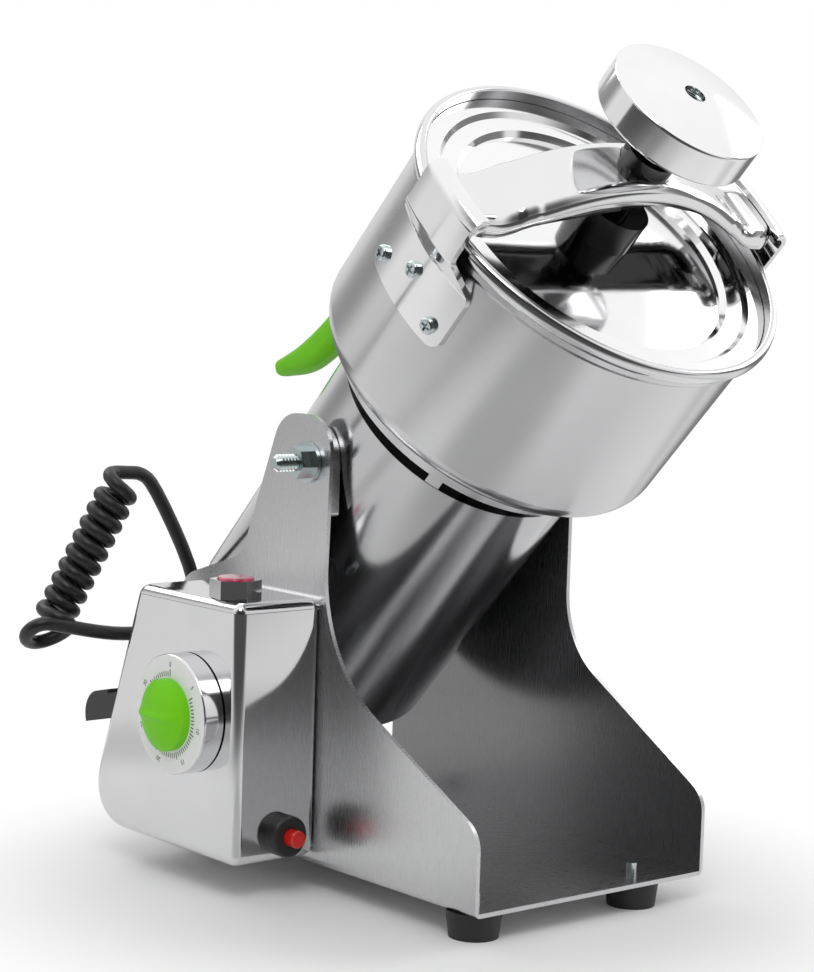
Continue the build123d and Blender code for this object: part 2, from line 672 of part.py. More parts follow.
def make_tube():
    """Motor tube with stud holes."""
    body = tube(TUBE_RADIUS, TUBE_BORE, TUBE_BOTTOM, TUBE_TOP)
    body -= along_x(rod(STUD_DIAMETER / 2 + SLIDE_FIT, -STAND_WIDTH, STAND_WIDTH), 0, PIVOT_SETBACK, 0)
    return body


def make_cap():
    """Slotted cap that closes the tube's lower end, with a spigot inside the tube."""
    body = rod(TUBE_RADIUS, TUBE_BOTTOM - CAP_THICKNESS, TUBE_BOTTOM)
    spigot = TUBE_BORE - SLIDE_FIT
    body += tube(spigot, spigot - CAP_SPIGOT_WALL, TUBE_BOTTOM - CAP_THICKNESS, TUBE_BOTTOM + CAP_SPIGOT)
    for i in range(CAP_SLOT_COUNT):
        y = (i - (CAP_SLOT_COUNT - 1) / 2) * CAP_SLOT_PITCH
        half = CAP_SLOT_LENGTH / 2
        deep = CAP_THICKNESS + OVERRUN
        wide = CAP_SLOT_WIDTH / 2
        body -= block(-half, half, y - wide, y + wide, TUBE_BOTTOM - deep, TUBE_BOTTOM + OVERRUN)
    return body - cap_gland_place() * rod(GLAND_DIAMETER / 2 + SLIDE_FIT, -GLAND_REACH, GLAND_REACH)


def cap_gland_place():
    """Place on the cap's underside, beside its slots, that looks straight out of it."""
    return Pos(-CAP_GLAND_SIDE, 0, TUBE_BOTTOM - CAP_THICKNESS) * Rot(180, 0, 0)


def make_ring():
    """Ring that carries the bowl on the tube, with air slots round its lower edge."""
    outer = RING_DIAMETER / 2
    inner = outer - RING_WALL
    body = tube(outer, inner, TUBE_TOP, BOWL_BOTTOM)
    body += rod(outer, BOWL_BOTTOM - RING_FLOOR, BOWL_BOTTOM)
    body -= rod(SHAFT_DIAMETER, TUBE_TOP, BOWL_BOTTOM + OVERRUN)
    seat = rod(outer + OVERRUN, TUBE_TOP - OVERRUN, TUBE_TOP + RING_SLOT_HEIGHT)
    half = RING_TAB_WIDTH / 2
    tab = block(0, outer + 2 * OVERRUN, -half, half, TUBE_TOP - OVERRUN, BOWL_BOTTOM)
    for keep in around(tab, RING_TAB_COUNT, RING_TAB_TURN - 90):
        seat -= keep
    body -= seat
    hole = rod(BOWL_SCREW_DIAMETER / 2 + SLIDE_FIT, TUBE_TOP, BOWL_BOTTOM + OVERRUN, BOWL_SCREW_CIRCLE, 0)
    for cut in around(hole, BOWL_SCREW_COUNT, 45):
        body -= cut
    for cut in handle_screw_cuts():
        body -= cut
    return body


def handle_screw_height():
    """Height of the two handle screws on the ring."""
    return BOWL_BOTTOM - HANDLE_FOOT_HEIGHT / 2 - FACE_GAP


def handle_screw_cuts():
    """Holes through the ring's wall and into the handle's foot."""
    cut = rod(HANDLE_SCREW_DIAMETER / 2 + SLIDE_FIT, 0, RING_WALL + HANDLE_SCREW_BITE)
    start = RING_DIAMETER / 2 - RING_WALL
    return [
        Pos(side * HANDLE_SCREW_SPREAD / 2, start - OVERRUN, handle_screw_height()) * Rot(-90, 0, 0) * cut
        for side in (-1, 1)
    ]


def make_handle_screws():
    """Screws from inside the ring into the handle."""
    bite = RING_WALL + HANDLE_SCREW_BITE - 2 * OVERRUN
    screw = pan_screw(HANDLE_SCREW_DIAMETER, bite, HANDLE_SCREW_HEAD_DIAMETER, HANDLE_SCREW_HEAD_HEIGHT)
    inner = RING_DIAMETER / 2 - RING_WALL
    reach = math.sqrt(inner ** 2 - (HANDLE_SCREW_SPREAD / 2 + HANDLE_SCREW_HEAD_DIAMETER / 2) ** 2)
    return group(
        Pos(side * HANDLE_SCREW_SPREAD / 2, reach, handle_screw_height()) * Rot(90, 0, 0) * screw
        for side in (-1, 1)
    )


def make_handle():
    """Curved lever that hangs behind the tube from a foot on the ring."""
    foot = RING_DIAMETER / 2 - RING_WALL / 2
    high = BOWL_BOTTOM - FACE_GAP
    low = high - HANDLE_FOOT_HEIGHT
    profile = outline([
        (foot, low, 0),
        (foot, high, 0),
        (RING_DIAMETER / 2 + HANDLE_ROOT_REACH, high, HANDLE_BEND_RADIUS / 2),
        (HANDLE_OUTER_REACH, HANDLE_OUTER_RISE, HANDLE_BEND_RADIUS),
        (HANDLE_TIP_REACH, HANDLE_TIP_RISE, HANDLE_TIP_RADIUS),
        (HANDLE_TIP_REACH - HANDLE_TIP_WIDTH, HANDLE_TIP_RISE, HANDLE_TIP_RADIUS),
        (HANDLE_OUTER_REACH - HANDLE_ROOT_WIDTH, HANDLE_OUTER_RISE - HANDLE_EDGE, HANDLE_BEND_RADIUS),
        (RING_DIAMETER / 2 + HANDLE_EDGE, low, HANDLE_EDGE),
    ])
    body = plate_x(profile, -HANDLE_WIDTH / 2, HANDLE_WIDTH / 2)
    rims = body.faces().filter_by(Axis.X).edges().filter_by(
        lambda edge: edge.center().Y > RING_DIAMETER / 2 + HANDLE_EDGE
    )
    body = fillet(rims, HANDLE_EDGE)
    body -= rod(RING_DIAMETER / 2 + SLIDE_FIT, low - OVERRUN, high + OVERRUN)
    for cut in handle_screw_cuts():
        body -= cut
    return body


def make_bowl():
    """Spun bowl with rounded bottom, seat ledge for the lid and a rolled rim."""
    corner = BOWL_CORNER
    inner = corner - BOWL_WALL
    wall = BOWL_RADIUS - BOWL_WALL
    band = RIM_BAND - BOWL_WALL
    floor = BOWL_BOTTOM + BOWL_WALL
    ledge = BOWL_LEDGE + BOWL_LEDGE_RISE
    bead = RIM_HEIGHT - RIM_BEAD
    hub = SEAL_DIAMETER / 2 + SLIDE_FIT
    diagonal = 1 - math.sqrt(0.5)
    path = [
        Line((hub, BOWL_BOTTOM), (BOWL_RADIUS - corner, BOWL_BOTTOM)),
        ThreePointArc(
            (BOWL_RADIUS - corner, BOWL_BOTTOM),
            (BOWL_RADIUS - corner * diagonal, BOWL_BOTTOM + corner * diagonal),
            (BOWL_RADIUS, BOWL_BOTTOM + corner),
        ),
        Polyline((BOWL_RADIUS, BOWL_BOTTOM + corner), (BOWL_RADIUS, BOWL_LEDGE)),
        Polyline((BOWL_RADIUS, BOWL_LEDGE), (RIM_BAND, ledge), (RIM_BAND, bead)),
        ThreePointArc(
            (RIM_BAND, bead),
            (RIM_BAND + RIM_BEAD / 2, bead + RIM_BEAD / 2),
            (RIM_BAND, RIM_HEIGHT),
        ),
        Line((RIM_BAND, RIM_HEIGHT), (band, RIM_HEIGHT)),
        Polyline((band, RIM_HEIGHT), (band, ledge), (wall, BOWL_LEDGE), (wall, floor + inner)),
        ThreePointArc(
            (wall, floor + inner),
            (wall - inner * diagonal, floor + inner * diagonal),
            (wall - inner, floor),
        ),
        Polyline((wall - inner, floor), (hub, floor), (hub, BOWL_BOTTOM)),
    ]
    body = revolve(Plane.XZ * make_face(path), Axis.Z)
    hole = rod(BOWL_SCREW_DIAMETER / 2 + SLIDE_FIT, TUBE_TOP, floor + OVERRUN, BOWL_SCREW_CIRCLE, 0)
    for cut in around(hole, BOWL_SCREW_COUNT, 45):
        body -= cut
    for side in (0, 180):
        for turn, height in lug_screw_places():
            hole = rod(LUG_SCREW_DIAMETER / 2 + SLIDE_FIT, wall - OVERRUN, RIM_BAND + OVERRUN)
            body -= Rot(0, 0, side + turn) * Pos(0, 0, height) * Rot(0, 90, 0) * hole
    return body


def make_bowl_screws():
    """Screws through the bowl's floor into the ring."""
    bite = BOWL_WALL + RING_FLOOR + BOWL_SCREW_BITE / 2
    screw = pan_screw(BOWL_SCREW_DIAMETER, bite, BOWL_SCREW_HEAD_DIAMETER, BOWL_SCREW_HEAD_HEIGHT)
    return group(around(Pos(BOWL_SCREW_CIRCLE, 0, BOWL_BOTTOM + BOWL_WALL) * screw, BOWL_SCREW_COUNT, 45))


def lug_screw_places():
    """(turn, height) of one lug's three screws."""
    return [(-LUG_SCREW_TURN, LUG_SCREW_LOW), (0.0, LUG_SCREW_HIGH), (LUG_SCREW_TURN, LUG_SCREW_LOW)]


def lug_faces():
    """Inner radius of the lug on the bowl's wall, and beside the rim."""
    return BOWL_RADIUS + SLIDE_FIT, RIM_RADIUS + LUG_RIM_GAP


def lug_outline():
    """Lug seen from the side of the bowl: a wide plate that narrows to a strap."""
    wide = LUG_WIDTH / 2
    neck = LUG_NECK_WIDTH / 2
    half = [
        (wide, LUG_BOTTOM, LUG_CORNER),
        (wide, LUG_SHOULDER, LUG_SHOULDER_RADIUS),
        (neck, LUG_JOGGLE_HIGH, LUG_SHOULDER_RADIUS),
        (neck, LUG_TOP, LUG_NOSE_CORNER),
    ]
    return outline(half + [(-across, up, radius) for across, up, radius in reversed(half)])


def make_lug():
    """Bracket that follows the bowl's wall, steps out round the rim and hooks in over the bar's end."""
    low, high = lug_faces()
    sheet = LUG_SHEET
    under = LUG_TOP - sheet
    nose = high + sheet - LUG_REACH
    outer = FilletPolyline(
        (low, LUG_BOTTOM), (low, LUG_JOGGLE_LOW), (high, LUG_JOGGLE_HIGH), (high, under), (nose, under),
        (nose, LUG_TOP), (high + sheet, LUG_TOP), (high + sheet, LUG_JOGGLE_HIGH - sheet / 2),
        (low + sheet, LUG_JOGGLE_LOW - sheet / 2), (low + sheet, LUG_BOTTOM),
        radius=[0, sheet, sheet, LUG_BEND - sheet, 0, 0, LUG_BEND, sheet, sheet, 0],
        close=True,
    )
    body = Rot(0, 0, -LUG_SPAN / 2) * revolve(Plane.XZ * make_face(outer), Axis.Z, LUG_SPAN)
    body &= plate_x(lug_outline(), 0, high + LUG_REACH)
    for turn, height in lug_screw_places():
        hole = rod(LUG_SCREW_DIAMETER / 2 + SLIDE_FIT, low - OVERRUN, low + sheet + OVERRUN)
        body -= Rot(0, 0, turn) * Pos(0, 0, height) * Rot(0, 90, 0) * hole
    return body


def make_lug_screws():
    """Cross-head screws of both lugs, through the bowl's wall."""
    seat = lug_faces()[0] + LUG_SHEET
    sag = seat - math.sqrt(seat ** 2 - (LUG_SCREW_HEAD_DIAMETER / 2) ** 2)
    bite = LUG_SHEET + BOWL_WALL + LUG_SCREW_HEAD_HEIGHT
    screw = pan_screw(LUG_SCREW_DIAMETER, bite, LUG_SCREW_HEAD_DIAMETER, LUG_SCREW_HEAD_HEIGHT)
    shank = rod(LUG_SCREW_DIAMETER / 2, -bite, 0)
    return group(
        Rot(0, 0, side + turn) * Pos(seat - sag / 2, 0, height) * Rot(0, 90, 0) * screw
        - Rot(0, 0, side) * rod(seat, LUG_BOTTOM, LUG_JOGGLE_LOW)
        + Rot(0, 0, side + turn) * Pos(seat, 0, height) * Rot(0, 90, 0) * shank
        for side in (0, 180) for turn, height in lug_screw_places()
    )


def bar_line(drop):
    """Arched line of the bar, lowered by a depth, as a closed outline down to a common floor."""
    knee = LUG_TOP - LUG_SHEET - SKIN_GAP
    centre = BAR_CROWN - BAR_CROWN_RADIUS
    reach = math.hypot(BAR_BREAK, knee - centre)
    rise = math.atan2(BAR_BREAK, knee - centre) - math.acos(BAR_CROWN_RADIUS / reach)
    radius = BAR_CROWN_RADIUS - drop
    apex = centre + radius / math.cos(rise)
    side = (apex - knee + drop) / math.tan(rise)
    floor = BAR_CROWN - BAR_BREAK
    end = BAR_HALF + OVERRUN
    half = [(end, floor, 0), (end, knee - drop, 0), (side, knee - drop, BAR_BREAK_RADIUS + drop)]
    other = [(-across, up, bend) for across, up, bend in reversed(half)]
    return outline(half + [(0, apex, radius)] + other)


def make_bar():
    """Arched channel across the lid, its ends under the lugs, with a hole for the bush."""
    half = BAR_WIDTH / 2
    strip = extrude(Plane.XZ * bar_line(0), half, both=True)
    strip -= extrude(Plane.XZ * bar_line(BAR_DEPTH), BAR_WIDTH, both=True)
    plan = fillet((Rectangle(2 * BAR_HALF, BAR_WIDTH)).vertices(), half / 2)
    strip &= extrude(plan, KNOB_TOP)
    pocket = extrude(Plane.XZ * bar_line(BAR_SKIN), half - BAR_SKIN, both=True)
    pocket &= extrude(Rectangle(2 * (BAR_HALF - half), BAR_WIDTH), KNOB_TOP)
    body = strip - pocket
    return body - rod(BUSH_DIAMETER / 2 + SLIDE_FIT, 0, KNOB_TOP)


def make_bush():
    """Threaded bush in the bar's middle."""
    body = rod(BUSH_DIAMETER / 2, BAR_CROWN - BUSH_DROP, BAR_CROWN + BUSH_STAND)
    return body - rod(SPINDLE_DIAMETER / 2 + RUNNING_FIT, 0, KNOB_TOP)


def lid_levels():
    """Underside heights of the lid: flange, band, dome edge and dome top."""
    flange = BOWL_LEDGE + BOWL_LEDGE_RISE + FACE_GAP + GASKET_THICKNESS
    band = flange - LID_STEP_ONE
    dome = band - LID_STEP_TWO
    return flange, band, dome, dome + LID_DOME_RISE


def lid_radii():
    """Radii of the lid: rim, inner edge of the flange, of the band, and the dome's edge."""
    rim = RIM_BAND - BOWL_WALL - SKIN_GAP
    flange = rim - LID_FLANGE_WIDTH
    band = flange - LID_STEP_RUN - LID_BAND_WIDTH
    return rim, flange, band, band - LID_STEP_RUN


def make_lid():
    """Dished lid: flange on the gasket, two steps down, then a low dome."""
    flange, band, dome, crown = lid_levels()
    rim, flange_in, band_in, dome_out = lid_radii()
    sheet = LID_SHEET
    band_out = flange_in - LID_STEP_RUN
    sphere = (dome_out ** 2 + LID_DOME_RISE ** 2) / (2 * LID_DOME_RISE)
    middle = dome_out / 2
    high = crown - sphere + math.sqrt(sphere ** 2 - middle ** 2)
    path = [
        Polyline((0, crown + sheet), (0, crown)),
        ThreePointArc((0, crown), (middle, high), (dome_out, dome)),
        Polyline((dome_out, dome), (band_in, band), (band_out, band), (flange_in, flange)),
        Polyline((flange_in, flange), (rim, flange), (rim, flange + sheet), (flange_in, flange + sheet)),
        Polyline((flange_in, flange + sheet), (band_out, band + sheet), (band_in, band + sheet)),
        Polyline((band_in, band + sheet), (dome_out, dome + sheet)),
        ThreePointArc((dome_out, dome + sheet), (middle, high + sheet), (0, crown + sheet)),
    ]
    return revolve(Plane.XZ * make_face(path), Axis.Z)


def make_gasket():
    """Seal ring between the lid's flange and the bowl's ledge."""
    rim = lid_radii()[0]
    top = lid_levels()[0]
    return tube(rim, rim - LID_FLANGE_WIDTH, top - GASKET_THICKNESS, top)


def make_socket():
    """Swivel socket on the lid's crown that holds the spindle's foot."""
    flange, band, dome, crown = lid_levels()
    seat = crown + LID_SHEET
    body = rod(SOCKET_DIAMETER / 2, dome, seat + SOCKET_HEIGHT)
    body -= make_lid()
    body = body.solids().sort_by(Axis.Z)[-1]
    top = seat + SOCKET_HEIGHT
    foot = top - SPINDLE_SEAT - SPINDLE_FOOT_HEIGHT
    body -= rod(SPINDLE_FOOT_DIAMETER / 2 + FACE_GAP, foot - FACE_GAP, top - SPINDLE_SEAT + FACE_GAP)
    return body - rod(SPINDLE_DIAMETER / 2 + RUNNING_FIT, foot, top + OVERRUN)


def spindle_foot():
    """Height of the spindle's lower end inside the socket."""
    return lid_levels()[3] + LID_SHEET + SOCKET_HEIGHT - SPINDLE_SEAT - SPINDLE_FOOT_HEIGHT


def make_knob_set():
    """Spindle, disc knob with its hub, and the screw sunk in the knob's top."""
    low = KNOB_TOP - KNOB_THICKNESS
    hub = low - KNOB_HUB_LENGTH
    foot = spindle_foot()
    spindle = rod(SPINDLE_DIAMETER / 2, foot, hub)
    spindle += rod(SPINDLE_FOOT_DIAMETER / 2, foot, foot + SPINDLE_FOOT_HEIGHT)
    stem = SPINDLE_DIAMETER / 2 - SHEET
    top = KNOB_TOP + KNOB_CROWN
    end = top - KNOB_RECESS_DEPTH - KNOB_SCREW_HEAD_HEIGHT
    spindle += rod(stem, foot, end)
    spindle -= rod(KNOB_SCREW_DIAMETER / 2 + SLIDE_FIT, end - KNOB_SCREW_LENGTH, top)
    radius = KNOB_DIAMETER / 2
    dome = (radius ** 2 + KNOB_CROWN ** 2) / (2 * KNOB_CROWN)
    disc = rod(radius, low, KNOB_TOP + KNOB_CROWN) & Pos(0, 0, KNOB_TOP + KNOB_CROWN - dome) * Sphere(dome)
    disc = fillet(disc.edges().filter_by(GeomType.CIRCLE), KNOB_EDGE)
    disc += rod(KNOB_HUB_DIAMETER / 2, hub, low + OVERRUN)
    disc -= rod(stem + SLIDE_FIT, hub - OVERRUN, end)
    disc -= rod(KNOB_RECESS_DIAMETER / 2, end, top + OVERRUN)
    head = KNOB_RECESS_DIAMETER - 4 * SLIDE_FIT
    screw = pan_screw(KNOB_SCREW_DIAMETER, KNOB_SCREW_LENGTH - OVERRUN, head, KNOB_SCREW_HEAD_HEIGHT)
    return {"clamp_spindle": spindle, "clamp_knob": disc, "knob_screw": Pos(0, 0, end) * screw}


def make_studs():
    """Pivot studs standing out of the tube, with their washers and nuts outside the arms."""
    start = TUBE_RADIUS - STUD_BITE
    wall = STAND_HALF + FACE_GAP
    stud = rod(STUD_DIAMETER / 2, start, STAND_HALF + STUD_REACH)
    washer = tube(WASHER_DIAMETER / 2, STUD_DIAMETER / 2 + SLIDE_FIT, wall, wall + WASHER_THICKNESS)
    nut_low = wall + WASHER_THICKNESS
    bore = rod(STUD_DIAMETER / 2 + SLIDE_FIT, 0, STAND_WIDTH)
    nut = hexagon(NUT_FLATS, nut_low, nut_low + NUT_HEIGHT) - bore
    sides = (-1, 1)
    return {
        "pivot_studs": group(along_x(stud, 0, PIVOT_SETBACK, 0, side) for side in sides),
        "pivot_washers": group(along_x(washer, 0, PIVOT_SETBACK, 0, side) for side in sides),
        "pivot_nuts": group(along_x(nut, 0, PIVOT_SETBACK, 0, side) for side in sides),
    }


def make_bracket(level, hub_up):
    """Motor bracket across the tube with a bearing seat and air holes."""
    hub = BEARING_DIAMETER / 2 + BRACKET_HUB_WALL
    high = level + BRACKET_THICKNESS
    body = rod(TUBE_BORE - SLIDE_FIT, level, high)
    seat_low = high - BEARING_HEIGHT if hub_up else level
    hub_low = seat_low - BRACKET_HUB_WALL if hub_up else seat_low
    body += rod(hub, hub_low, hub_low + BEARING_HEIGHT + BRACKET_HUB_WALL)
    body -= rod(BEARING_DIAMETER / 2 + SLIDE_FIT, seat_low, seat_low + BEARING_HEIGHT)
    body -= rod(SHAFT_DIAMETER, seat_low - 2 * BRACKET_HUB_WALL, high + 2 * BRACKET_HUB_WALL)
    hole = rod(BRACKET_SLOT_DIAMETER / 2, level - OVERRUN, high + OVERRUN, BRACKET_SLOT_CIRCLE, 0)
    for cut in around(hole, BRACKET_SLOT_COUNT):
        body -= cut
    return body, seat_low


def make_bearing(low):
    """Ball bearing as one ring on the shaft."""
    return tube(BEARING_DIAMETER / 2, SHAFT_DIAMETER / 2 + RUNNING_FIT, low, low + BEARING_HEIGHT)


def make_stator():
    """Laminated field core with two poles."""
    outer = TUBE_BORE - SLIDE_FIT
    yoke = outer - STATOR_YOKE
    gap = ARMATURE_DIAMETER / 2 + AIR_GAP
    body = tube(outer, yoke, STATOR_BOTTOM, STATOR_TOP)
    half = POLE_WIDTH / 2
    body += block(-yoke - OVERRUN, yoke + OVERRUN, -half, half, STATOR_BOTTOM, STATOR_TOP)
    return body - rod(gap, STATOR_BOTTOM - OVERRUN, STATOR_TOP + OVERRUN)


def make_field_coils():
    """Field winding round each pole."""
    yoke = TUBE_BORE - SLIDE_FIT - STATOR_YOKE
    gap = ARMATURE_DIAMETER / 2 + AIR_GAP
    reach = (yoke - gap) * COIL_SHOE_SHARE
    half = POLE_WIDTH / 2
    wide = half + COIL_SIDE
    outer = math.sqrt(yoke ** 2 - wide ** 2) - FACE_GAP
    inner = gap + reach
    low = STATOR_BOTTOM - COIL_OVERHANG
    high = STATOR_TOP + COIL_OVERHANG
    frame = block(inner, outer, -wide, wide, low, high)
    frame = fillet(frame.edges().filter_by(Axis.X), COIL_OVERHANG / 2)
    hole = half + FACE_GAP
    frame -= block(0, yoke, -hole, hole, STATOR_BOTTOM - FACE_GAP, STATOR_TOP + FACE_GAP)
    return group([frame, Rot(0, 0, 180) * frame])


def commutator_span():
    """Heights of the commutator's ends, between the armature and the lower bracket."""
    high = STATOR_BOTTOM - COMMUTATOR_GAP
    return high - COMMUTATOR_LENGTH, high


def make_rotor():
    """Shaft with armature, commutator and cooling fan."""
    shaft_hole = SHAFT_DIAMETER / 2 + RUNNING_FIT
    armature = tube(ARMATURE_DIAMETER / 2, shaft_hole, STATOR_BOTTOM, STATOR_TOP)
    depth = ARMATURE_SLOT_DEPTH
    radius = ARMATURE_DIAMETER / 2
    half = ARMATURE_SLOT_WIDTH / 2
    low = STATOR_BOTTOM - OVERRUN
    slot = block(radius - depth, radius + OVERRUN, -half, half, low, STATOR_TOP + OVERRUN)
    for cut in around(slot, ARMATURE_SLOTS):
        armature -= cut
    low, high = commutator_span()
    fan_low = STATOR_TOP + FAN_RISE
    fan = rod(FAN_DIAMETER / 2, fan_low, fan_low + FAN_PLATE)
    fan += rod(FAN_HUB_DIAMETER / 2, fan_low, fan_low + FAN_HEIGHT)
    vane = block(
        FAN_HUB_DIAMETER / 2 - OVERRUN, FAN_DIAMETER / 2 - FAN_PLATE, -FAN_PLATE / 2, FAN_PLATE / 2,
        fan_low, fan_low + FAN_HEIGHT,
    )
    for blade in around(vane, FAN_BLADES):
        fan += blade
    fan -= rod(shaft_hole, fan_low - OVERRUN, fan_low + FAN_HEIGHT + OVERRUN)
    return {
        "rotor_shaft": rod(SHAFT_DIAMETER / 2, SHAFT_BOTTOM, SHAFT_TOP),
        "armature_core": armature,
        "commutator": tube(COMMUTATOR_DIAMETER / 2, shaft_hole, low, high),
        "cooling_fan": fan,
    }


def make_brushes():
    """Carbon brushes on the commutator and the holders that carry them from the tube wall."""
    low, high = commutator_span()
    middle = (low + high) / 2
    start = COMMUTATOR_DIAMETER / 2 + FACE_GAP
    half_w = BRUSH_WIDTH / 2
    half_h = BRUSH_HEIGHT / 2
    brush = block(-half_w, half_w, start, start + BRUSH_LENGTH, middle - half_h, middle + half_h)
    wall = BRUSH_HOLDER_WALL
    inner = start + BRUSH_LENGTH * (1 - BRUSH_HOLDER_SHARE)
    outer = math.sqrt((TUBE_BORE - SLIDE_FIT) ** 2 - (half_w + wall) ** 2)
    wide = half_w + wall
    tall = half_h + wall
    holder = block(-wide, wide, inner, outer, middle - tall, middle + tall)
    wide = half_w + SLIDE_FIT
    tall = half_h + SLIDE_FIT
    holder -= block(-wide, wide, 0, outer - wall, middle - tall, middle + tall)
    return {
        "carbon_brushes": group([brush, Rot(0, 0, 180) * brush]),
        "brush_holders": group([holder, Rot(0, 0, 180) * holder]),
    }


def make_seal():
    """Shaft seal in the bowl's floor, carried by the ring's floor."""
    low = BOWL_BOTTOM - RING_FLOOR
    high = BOWL_BOTTOM + BOWL_WALL + SEAL_STAND
    body = rod(SEAL_DIAMETER / 2, BOWL_BOTTOM, high)
    body += rod(SHAFT_DIAMETER - SLIDE_FIT, low, BOWL_BOTTOM + OVERRUN)
    return body - rod(SHAFT_DIAMETER / 2 + RUNNING_FIT, low - OVERRUN, high + OVERRUN)


def blade_levels():
    """Underside heights of the three blades, from the seal upwards."""
    first = BOWL_BOTTOM + BOWL_WALL + SEAL_STAND + FACE_GAP + BLADE_SPACER / 2
    step = BLADE_THICKNESS + BLADE_SPACER
    return [first + i * step for i in range(len(BLADE_SPANS))]


def make_blade(span, turn, level):
    """Flat two-armed blade with narrowed, slanted tips."""
    half = span / 2
    root = BLADE_WIDTH / 2
    tip = BLADE_TIP_WIDTH / 2
    face = make_face(Polyline(
        (-half, -tip), (-root, -root), (root, -root), (half, root - BLADE_TIP_WIDTH),
        (half, tip), (root, root), (-root, root), (-half, BLADE_TIP_WIDTH - root), close=True,
    ))
    body = Pos(0, 0, level) * extrude(face, BLADE_THICKNESS)
    hole = rod(SHAFT_DIAMETER / 2 + RUNNING_FIT, level - OVERRUN, level + BLADE_THICKNESS + OVERRUN)
    return Rot(0, 0, turn) * body - hole


def make_blades():
    """Three blades, the spacers between them and the nut on top."""
    levels = blade_levels()
    names = ("blade_lower", "blade_middle", "blade_upper")
    parts = {
        name: make_blade(span, turn, level)
        for name, span, turn, level in zip(names, BLADE_SPANS, BLADE_TURNS, levels)
    }
    hole = SHAFT_DIAMETER / 2 + RUNNING_FIT
    lows = [levels[0] - BLADE_SPACER / 2] + [level + BLADE_THICKNESS for level in levels[:-1]]
    parts["blade_spacers"] = group(
        tube(BLADE_SPACER_DIAMETER / 2, hole, low, high) for low, high in zip(lows, levels)
    )
    seat = levels[-1] + BLADE_THICKNESS
    nut = hexagon(BLADE_NUT_FLATS, seat, seat + BLADE_NUT_HEIGHT)
    parts["blade_nut"] = nut - rod(hole, 0, SHAFT_TOP + OVERRUN)
    return parts


def lean_axis(lean):
    """Unit direction that leans right and back by two angles."""
    right, back = (math.tan(math.radians(angle)) for angle in lean)
    return Vector(right, back, 1).normalized()


def eased(share):
    """Smooth step between 0 and 1."""
    return share * share * (3 - 2 * share)


def coil_frame(turn):
    """Centre, side and back directions and radius of the curls after a number of turns."""
    ease = eased(min(turn / LOOP_TURNS, 1))
    line = lean_axis(COIL_LEAN)
    axis = (lean_axis(LOOP_LEAN) * (1 - ease) + line * ease).normalized()
    lift = max(0, 1 - (COIL_TURNS - turn) / COIL_LIFT_TURNS)
    centre = Vector(*COIL_START) + line * (COIL_PITCH * turn + COIL_LIFT * lift * lift)
    centre = centre + (Vector(*LOOP_START) - Vector(*COIL_START)) * (1 - ease)
    side = (Vector(1, 0, 0) - axis * axis.X).normalized()
    return centre, side, axis.cross(side), LOOP_RADIUS * (1 - ease) + COIL_RADIUS * ease


def coil_point(turn):
    """Point of the curly cord's middle line: it starts in front and winds left as it climbs."""
    centre, side, back, radius = coil_frame(turn)
    angle = -math.pi / 2 - 2 * math.pi * turn
    return centre + side * (radius * math.cos(angle)) + back * (radius * math.sin(angle))


def coil_heading(turn):
    """Direction of the curly cord's middle line."""
    step = 1 / COIL_POINTS_PER_TURN ** 2
    return (coil_point(min(turn + step, COIL_TURNS)) - coil_point(max(turn - step, 0))).normalized()


def biarc(start, start_heading, end, end_heading):
    """Two arcs from one point and heading to another."""
    span = end - start
    both = start_heading + end_heading
    bend = 2 * (1 - start_heading.dot(end_heading))
    reach = (-span.dot(both) + math.sqrt(span.dot(both) ** 2 + bend * span.dot(span))) / bend
    middle = (start + start_heading * reach + end - end_heading * reach) * 0.5
    heading = (end - end_heading * reach - start - start_heading * reach).normalized()
    first = Edge.make_tangent_arc(start, start_heading, middle)
    return [first, Edge.make_tangent_arc(middle, heading, end)]


def coil_ends():
    """Outer ends of the curly cord and the headings with which it leaves them."""
    foot = coil_point(0) - coil_heading(0) * CORD_DIAMETER
    top = coil_point(COIL_TURNS) + coil_heading(COIL_TURNS) * CORD_DIAMETER
    return foot, coil_heading(0) * -1, top, coil_heading(COIL_TURNS)


def make_coil():
    """Curly cord: one tube along quarter-turn biarcs with a straight run at each end."""
    foot, _, top, _ = coil_ends()
    count = int(COIL_TURNS * COIL_SPANS_PER_TURN)
    turns = [COIL_TURNS * i / count for i in range(count + 1)]
    edges = [Edge.make_line(foot, coil_point(0))]
    for here, there in zip(turns, turns[1:]):
        edges += biarc(coil_point(here), coil_heading(here), coil_point(there), coil_heading(there))
    edges.append(Edge.make_line(coil_point(COIL_TURNS), top))
    section = Plane(origin=foot, z_dir=coil_heading(0)) * Circle(CORD_DIAMETER / 2)
    path = Wire(edges)
    return sweep(section, path=path), path.length


def coil_gap():
    """Least gap between one turn of the curly cord and another, measured on points."""
    count = int(COIL_TURNS * COIL_POINTS_PER_TURN)
    points = [coil_point(COIL_TURNS * i / count) for i in range(count + 1)]
    away = COIL_POINTS_PER_TURN // 2
    return min((a - b).length for i, a in enumerate(points) for b in points[i + away:]) - CORD_DIAMETER


def lead_tube(points):
    """Round lead along straight runs joined by arcs as large as the runs allow, and its radii."""
    places = [Vector(*point) for point in points]
    radii = []
    for before, here, after in zip(places, places[1:], places[2:]):
        turn = (here - before).get_angle(after - here)
        short = min((here - before).length, (after - here).length)
        radii.append(LEAD_BEND_SHARE * short / math.tan(math.radians(turn / 2)))
    path = FilletPolyline(*places, radius=radii)
    section = Plane(origin=places[0], z_dir=places[1] - places[0]) * Circle(CORD_DIAMETER / 2)
    return sweep(section, path=path), radii, path.length


